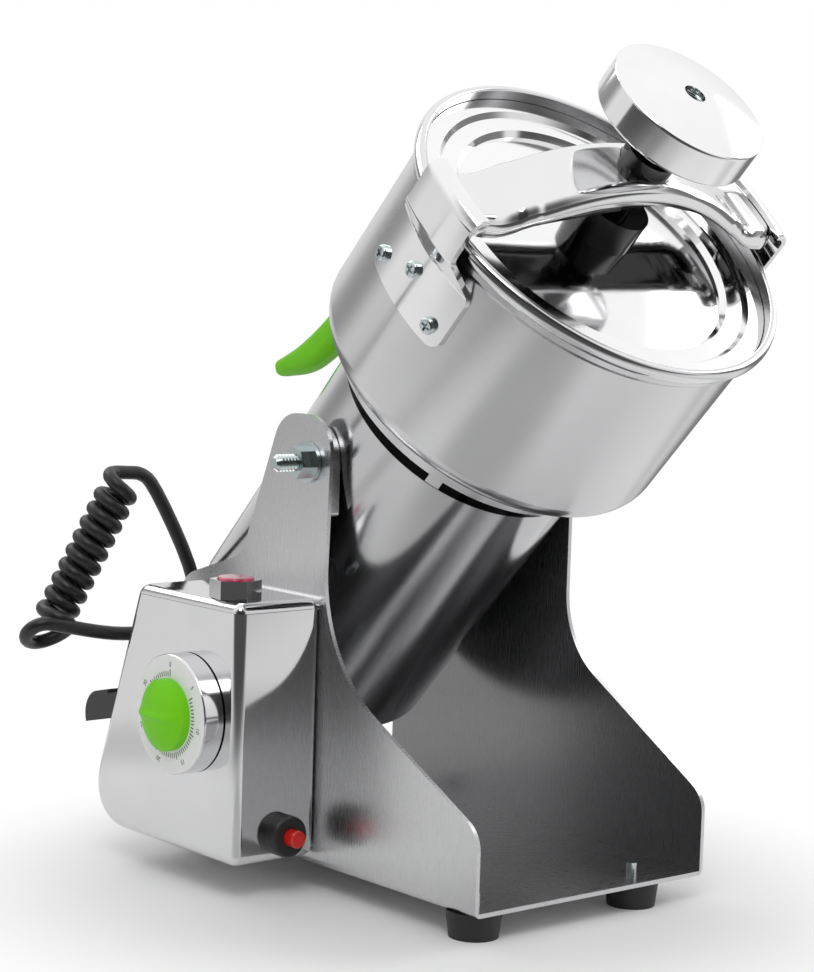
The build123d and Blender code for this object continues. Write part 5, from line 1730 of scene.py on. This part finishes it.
@dataclass
class CurlyCord(Dressed):
    """Curly cord from the control box to the motor, with its glands.

    Attributes:
        diameter: Outer diameter, in millimetres.
        coil_radius: Radius of the curls, to the middle of the cord.
        coil_pitch: Advance of a curl.
        coil_turns: Number of curls.
        coil_lean: Lean of the coil to the right and back, in degrees.
        coil_start: Foot of the coil's axis.
        loop_radius: Radius of the slack first curl.
        loop_turns: Curls over which it tightens.
        loop_lean: Lean of the slack curl.
        loop_start: Middle of the slack curl.
        coil_lift: How far the last curl is drawn up.
        lift_turns: Curls over which it is.
        steps: Points on each curl.
        box_exit: Where the cord leaves the box's gland.
        box_way: Direction out of that gland.
        box_end: Straight run out of it.
        box_start: Straight run from the coil's foot.
        box_route: Points between.
        cap_exit: Where it enters the motor's gland.
        cap_way: Direction out of that gland.
        cap_end: Straight run into it.
        cap_start: Straight run from the coil's top.
        cap_route: Points between.
        give: Share of the head's turn that the coil takes up.
        lead_share: Share of the motor's lead over which the rest is taken up.
        curve_order: Order of the cord's curve.
        curve_steps: Points of the curve between two of the route.
        round_steps: Roundness of the cord.
    """

    finishes: dict[str, FinishName] = finished((FinishName.BLACK, "cord_gland_motor"))
    diameter: float = 6.8
    coil_radius: float = 7.0
    coil_pitch: float = 7.65
    coil_turns: float = 10.5
    coil_lean: tuple[float, float] = (23.0, -12.0)
    coil_start: Point = (-124.1, 134.7, 104.6)
    loop_radius: float = 10.2
    loop_turns: float = 1.65
    loop_lean: tuple[float, float] = (16.0, 55.0)
    loop_start: Point = (-136.0, 118.6, 103.6)
    coil_lift: float = 4.0
    lift_turns: float = 1.0
    steps: int = 24
    box_exit: Point = (-80.0, 87.67, 103.18)
    box_way: Point = (0.0, 0.9423, 0.3350)
    box_end: float = 10.5
    box_start: float = 24.0
    box_route: tuple[Point, ...] = ((-88.5, 110.4, 104.0),)
    cap_exit: Point = (-34.0, 84.90, 99.72)
    cap_way: Point = (0.0, 0.6896, -0.7242)
    cap_end: float = 16.0
    cap_start: float = 7.0
    cap_route: tuple[Point, ...] = (
        (-70.3, 125.6, 176.4),
        (-46.5, 124.0, 132.5),
        (-44.0, 120.5, 107.0),
        (-41.0, 117.0, 91.5),
        (-36.0, 107.0, 84.5),
    )
    give: float = 0.12
    lead_share: float = 0.55
    curve_order: int = 3
    curve_steps: int = 4
    round_steps: int = 5

    @staticmethod
    def _axis(lean: tuple[float, float]) -> Vector:
        """Gives the direction of a line that leans to the right and back."""
        return Vector((math.tan(math.radians(lean[0])), math.tan(math.radians(lean[1])), 1)).normalized()

    def _curl(self, turn: float) -> Vector:
        """Finds a point of the coil.

        Args:
            turn: Curls from its foot.

        Returns:
            The point in machine millimetres.
        """
        share = min(turn / self.loop_turns, 1)
        ease = share * share * (3 - 2 * share)
        line = self._axis(self.coil_lean)
        axis = (self._axis(self.loop_lean) * (1 - ease) + line * ease).normalized()
        lift = max(0, 1 - (self.coil_turns - turn) / self.lift_turns)
        centre = Vector(self.coil_start) + line * (self.coil_pitch * turn + self.coil_lift * lift * lift)
        centre += (Vector(self.loop_start) - Vector(self.coil_start)) * (1 - ease)
        side = (Vector((1, 0, 0)) - axis * axis.x).normalized()
        back = axis.cross(side)
        radius = self.loop_radius * (1 - ease) + self.coil_radius * ease
        angle = -math.pi / 2 - 2 * math.pi * turn
        return centre + side * (radius * math.cos(angle)) + back * (radius * math.sin(angle))

    def route(self) -> tuple[list[Vector], int, int]:
        """Lists the cord's points from the box to the motor.

        Returns:
            The points in machine millimetres, and where the coil starts and ends among them.
        """
        small = 0.0001
        foot_way = (self._curl(0) - self._curl(small)).normalized()
        top_way = (self._curl(self.coil_turns) - self._curl(self.coil_turns - small)).normalized()
        foot = self._curl(0) + foot_way * self.diameter
        top = self._curl(self.coil_turns) + top_way * self.diameter
        box = Vector(self.box_exit)
        points = [box, box + Vector(self.box_way) * self.box_end]
        points += [Vector(p) for p in reversed(self.box_route)]
        points += [foot + foot_way * self.box_start, foot]
        start = len(points)
        count = int(self.coil_turns * self.steps)
        points += [self._curl(self.coil_turns * i / count) for i in range(count + 1)]
        end = len(points)
        cap = Vector(self.cap_exit)
        points += [top, top + top_way * self.cap_start]
        points += [Vector(p) for p in self.cap_route]
        points += [cap + Vector(self.cap_way) * self.cap_end, cap]
        return points, start, end

    def build(self, place: Place, library: Library) -> None:
        """Draws the cord's line and sweeps its tube.

        Args:
            place: Where the machine stands.
            library: The finished materials.
        """
        points, start, end = self.route()
        places = [place.point(*p) for p in points]
        curve = bpy.data.curves.new("cord_line", "CURVE")
        curve.dimensions = "3D"
        curve.resolution_u = self.curve_steps
        spline = curve.splines.new("NURBS")
        spline.points.add(len(places) - 1)
        for knot, spot in zip(spline.points, places):
            knot.co = (*spot, 1.0)
        spline.order_u = self.curve_order
        spline.use_endpoint_u = True
        line = bpy.data.objects.new("cord_line", curve)
        bpy.context.scene.collection.objects.link(line)
        bare = bpy.data.meshes.new_from_object(line)
        path = [v.co.copy() for v in bare.vertices]
        curve.bevel_depth = self.diameter / 2 * MM
        curve.bevel_resolution = self.round_steps
        curve.use_fill_caps = True
        pick(line)
        bpy.ops.object.convert(target="MESH")
        cord = bpy.context.object
        cord.name = "curly_cord_sheath"
        bpy.ops.object.shade_smooth_by_angle(angle=math.radians(CORD_EDGE))
        library.put(cord, FinishName.CORD)
        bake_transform(cord, "stand", "head", start=places[0], end=places[-1])
        self._yield(cord, path, start / len(points), end / len(points))
        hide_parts("curly_cord", "cord_lead_box", "cord_lead_motor")

    def _yield(self, cord: Piece, path: list[Vector], start: float, end: float) -> None:
        """Lets the cord follow the head's turn: a little over the coil and the rest over the motor's lead.

        Args:
            cord: The cord's tube.
            path: Points along its middle.
            start: Share of the points where the coil starts.
            end: Share of the points where it ends.
        """
        tree = KDTree(len(path))
        for i, spot in enumerate(path):
            tree.insert(spot, i)
        tree.balance()
        first, last = start * len(path), end * len(path)
        finish = last + self.lead_share * (len(path) - last)
        follow = cord.data.attributes["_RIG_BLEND"].data
        for vertex, value in zip(cord.data.vertices, follow):
            at = tree.find(vertex.co)[1]
            over = min(max((at - first) / (last - first), 0.0), 1.0)
            rest = min(max((at - last) / (finish - last), 0.0), 1.0)
            value.value = self.give * over * over + (1 - self.give) * rest * rest * (3 - 2 * rest)


@dataclass
class HeadSet(Dressed):
    """Motor drum with its bowl, lugs and handle.

    Attributes:
        lever: Reach, rise, half thickness and half width of the handle at even steps from its foot.
        lever_share: Share of the lever's grid before its rounded tip.
        lever_tip: Length of the rounded tip.
        lever_soft: How square its section is, 1 for an ellipse.
        rim_radius: Radius of the bowl's rolled rim, to the middle of the roll.
        rim_level: Height of that middle.
        rim_half: Half width and half height of the roll.
        rim_square: How square the roll is on its inner side.
        lever_grid: Cells of the handle round its section and along it.
        rim_grid: Cells of the rim round the bowl and round the roll.
    """

    finishes: dict[str, FinishName] = finished(
        (FinishName.TUBE, "motor_tube tube_base_cap"),
        (FinishName.BOWL, "bowl"),
        (FinishName.RING, "bowl_ring"),
        (FinishName.POLISHED, "lug_left lug_right"),
        (FinishName.FASTENER, "bowl_screws lug_screws handle_screws"),
    )
    lever: tuple[tuple[float, float, float, float], ...] = (
        (71.8, 50.8, 6.0, 7.5),
        (83.0, 49.5, 6.5, 7.5),
        (91.0, 36.0, 7.0, 7.5),
        (93.5, 12.0, 7.8, 7.5),
        (96.0, -10.0, 8.0, 7.5),
        (102.0, -32.0, 7.4, 7.2),
        (112.0, -50.0, 4.6, 6.2),
    )
    lever_share: float = 0.88
    lever_tip: float = 4.4
    lever_soft: float = 0.75
    rim_radius: float = 88.6
    rim_level: float = 155.9
    rim_half: tuple[float, float] = (2.0, 3.3)
    rim_square: float = 0.5
    lever_grid: Cells = (28, 64)
    rim_grid: Cells = (192, 28)

    def build(self, place: Place, library: Library) -> None:
        """Forms the handle and the bowl's rolled rim.

        Args:
            place: Where the machine stands.
            library: The finished materials.
        """
        handle = settle(formed("handle_lever", self.lever_grid, self._lever), place.head())
        library.put(handle, FinishName.GREEN)
        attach(handle, "head")
        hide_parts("handle")
        rim = settle(formed("bowl_rim_roll", self.rim_grid, self._rim), place.head())
        library.put(rim, FinishName.RIM)
        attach(rim, "head")
        LOG.info("handle_lever and bowl_rim_roll formed")

    def _rim(self, turn: float, around: float) -> Vector:
        """Gives a point of the bowl's rolled rim.

        Args:
            turn: Share of a turn round the bowl.
            around: Share of a turn round the roll.

        Returns:
            The point in millimetres, in the head's frame.
        """
        way, angle = 2 * math.pi * turn, 2 * math.pi * around
        out, up = math.cos(angle), math.sin(angle)
        if out < 0:
            out, up = (math.copysign(abs(f) ** self.rim_square, f) for f in (out, up))
        radius = self.rim_radius + self.rim_half[0] * out
        level = self.rim_level + self.rim_half[1] * up
        return Vector((radius * math.cos(way), radius * math.sin(way), level))

    def _lever(self, turn: float, along: float) -> Vector:
        """Gives a point of the handle: a curved leaf with a rounded tip.

        Args:
            turn: Share of a turn round its section.
            along: Share of the way from its foot to its tip.

        Returns:
            The point in millimetres, in the head's frame.
        """
        share = min(along / self.lever_share, 1.0)
        reach, rise, thick, wide = glide(self.lever, share)
        step = 0.01
        ahead = glide(self.lever, min(share + step, 1.0))
        behind = glide(self.lever, max(share - step, 0.0))
        way = Vector((0, ahead[0] - behind[0], ahead[1] - behind[1])).normalized()
        out = Vector((0, -way.z, way.y))
        tip = max(0.0, along - self.lever_share) / (1 - self.lever_share) * math.pi / 2
        angle = 2 * math.pi * turn
        section = (math.cos(angle), math.sin(angle))
        flat, lift = (math.copysign(abs(f) ** self.lever_soft, f) for f in section)
        centre = Vector((0, reach, rise)) + way * (self.lever_tip * math.sin(tip))
        return centre + (Vector((wide * flat, 0, 0)) + out * (thick * lift)) * math.cos(tip)


@dataclass
class ClampSet(Dressed):
    """Clamp bar, lid and knob.

    Attributes:
        half: Half length of the bar, in millimetres.
        half_width: Half width of the bar.
        depth: Depth of its channel.
        skin: Its sheet.
        shoulder: Radius over its long edges.
        end_corner: Radius of its ends, seen from above.
        crown: Height of its middle.
        crown_radius: Radius of its arch.
        knee: Height of its flat ends.
        knee_half: Where the arch's straight flanks meet the ends.
        knee_run: Half length of the bend there.
        crease: Where a raised crease starts and ends on each flank.
        crease_height: Height of the crease.
        crease_run: Length of its slopes.
        bush_radius: Radius of the bush's hole.
        bush_bore: Length of the bore that makes it.
        bar_grid: Cells of the bar round its section and along it.
    """

    finishes: dict[str, FinishName] = finished(
        (FinishName.POLISHED, "clamp_knob lid"),
        # The bush, spindle and socket take painted shade: they sit in the shadow under the bar.
        (FinishName.SHADED, "bar_bush clamp_spindle lid_socket"),
        (FinishName.FASTENER, "knob_screw"),
        (FinishName.GASKET, "lid_gasket"),
    )
    half: float = 92.0
    half_width: float = 17.0
    depth: float = 8.0
    skin: float = 2.4
    shoulder: float = 6.5
    end_corner: float = 8.5
    crown: float = 194.5
    crown_radius: float = 118.0
    knee: float = 171.8
    knee_half: float = 75.0
    knee_run: float = 4.4
    crease: tuple[float, float] = (57.0, 68.0)
    crease_height: float = 0.6
    crease_run: float = 3.0
    bush_radius: float = 12.1
    bush_bore: float = 32.0
    bar_grid: Cells = (120, 180)

    def build(self, place: Place, library: Library) -> None:
        """Presses the bar and bores it for its bush.

        Args:
            place: Where the machine stands.
            library: The finished materials.
        """
        bar = formed("clamp_bar_pressed", self.bar_grid, self._bar)
        middle = Matrix.Translation((0, 0, self.crown * MM))
        bored(bar, [(middle, self.bush_radius, self.bush_bore)])
        bpy.ops.object.shade_smooth_by_angle(angle=math.radians(FORMED_EDGE))
        self._mark(bar)
        settle(bar, place.head())
        library.put(bar, FinishName.PRESSED)
        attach(bar, "clamp")
        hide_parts("clamp_bar")
        LOG.info("clamp_bar_pressed formed")

    @staticmethod
    def _mark(bar: Piece) -> None:
        """Marks the inside of the channel, under the bar, where it takes painted shade.

        Args:
            bar: The bar, before it is set in its place.
        """
        steep, level = 0.3, 0.5
        mark = bar.data.attributes.new(SHADE_ATTRIBUTE, "FLOAT", "POINT")
        for vertex, value in zip(bar.data.vertices, mark.data):
            out = math.copysign(1.0, vertex.co.y) * vertex.normal.y
            value.value = float(out < -steep or (vertex.normal.z < -level and out < steep))

    def _rise(self, x: float) -> float:
        """Finds the height of the bar's top.

        Args:
            x: Distance from its middle.

        Returns:
            The height in the head's frame.
        """
        away = abs(x)
        centre = self.crown - self.crown_radius
        span = math.hypot(self.knee_half, self.knee - centre)
        lean = math.atan2(self.knee_half, self.knee - centre) - math.acos(self.crown_radius / span)
        run = self.crease_run
        ramp = min(max(away - self.crease[0], 0), max(self.crease[1] - away, 0), run) / run
        bead = self.crease_height * ramp * ramp * (3 - 2 * ramp)
        if away < self.crown_radius * math.sin(lean):
            return centre + math.sqrt(self.crown_radius**2 - away**2)
        left = self.knee_half - away
        soft = min(max(left + self.knee_run, 0), 2 * self.knee_run) ** 2 / (4 * self.knee_run)
        return self.knee + math.tan(lean) * max(left, soft if abs(left) < self.knee_run else 0) + bead

    def _bar(self, turn: float, along: float) -> Vector:
        """Gives a point of the bar: a channel with rounded shoulders, bent along its arch.

        Args:
            turn: Share of the way round its section, first outside and then back inside.
            along: Share of the way from end to end.

        Returns:
            The point in millimetres, in the head's frame.
        """
        x = self.half * (2 * along - 1)
        past = max(0.0, abs(x) - self.half + self.end_corner)
        wide = self.half_width - self.end_corner + math.sqrt(max(self.end_corner**2 - past * past, 0.0))
        inside = turn > 0.5
        share = 2 * (1 - turn) if inside else 2 * turn
        skin = self.skin if inside else 0.0
        radius = self.shoulder - skin
        skirt, bend, flat = self.depth - self.shoulder, radius * math.pi / 2, 2 * (wide - self.shoulder)
        at = share * (2 * skirt + 2 * bend + flat)
        side = -1 if at < skirt + bend + flat / 2 else 1
        at = min(at, 2 * skirt + 2 * bend + flat - at)
        if at < skirt:
            y, drop = wide - skin, self.depth - at
        elif at < skirt + bend:
            angle = (at - skirt) / radius
            y = wide - self.shoulder + radius * math.cos(angle)
            drop = self.shoulder - radius * math.sin(angle)
        else:
            y, drop = wide - self.shoulder - (at - skirt - bend), skin
        return Vector((x, side * y, self._rise(x) - drop))


@dataclass
class MotorSet(Dressed):
    """Motor and blades inside the head."""

    finishes: dict[str, FinishName] = finished(
        (FinishName.IRON, "stator_core armature_core"),
        (FinishName.WINDING, "field_coils commutator"),
        (FinishName.ALLOY, "lower_bracket cooling_fan"),
        # The upper bracket takes painted shade, so that the ring's slots look dark.
        (FinishName.BRACKET, "upper_bracket"),
        (FinishName.SHAFT, "rotor_shaft bearings"),
        (FinishName.GASKET, "shaft_seal"),
        (FinishName.CARBON, "carbon_brushes"),
        (FinishName.BLACK, "brush_holders"),
        (FinishName.BLADE, "blade_lower blade_middle blade_upper"),
        (FinishName.FASTENER, "blade_spacers blade_nut"),
    )


def main() -> None:
    """Builds the stage and each sub-assembly in order."""
    logging.basicConfig(level=logging.INFO, format="%(message)s")
    for leftover in list(bpy.data.objects):
        bpy.data.objects.remove(leftover)
    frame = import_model()
    tilt = next(joint for joint in frame["joints"] if joint["name"] == "head_tilt")
    place = Place(Vector(tilt["pos_m"]))
    library = Library(place)
    Studio().build(place)
    modelled = (CurlyCord(), PivotSet(), ControlBox(), HeadSet(), ClampSet())
    for assembly in (*modelled, StandSet(), MotorSet()):
        assembly.dress(frame["nodes"], library)
    for assembly in modelled:
        assembly.build(place, library)


if __name__ == "__main__":
    main()
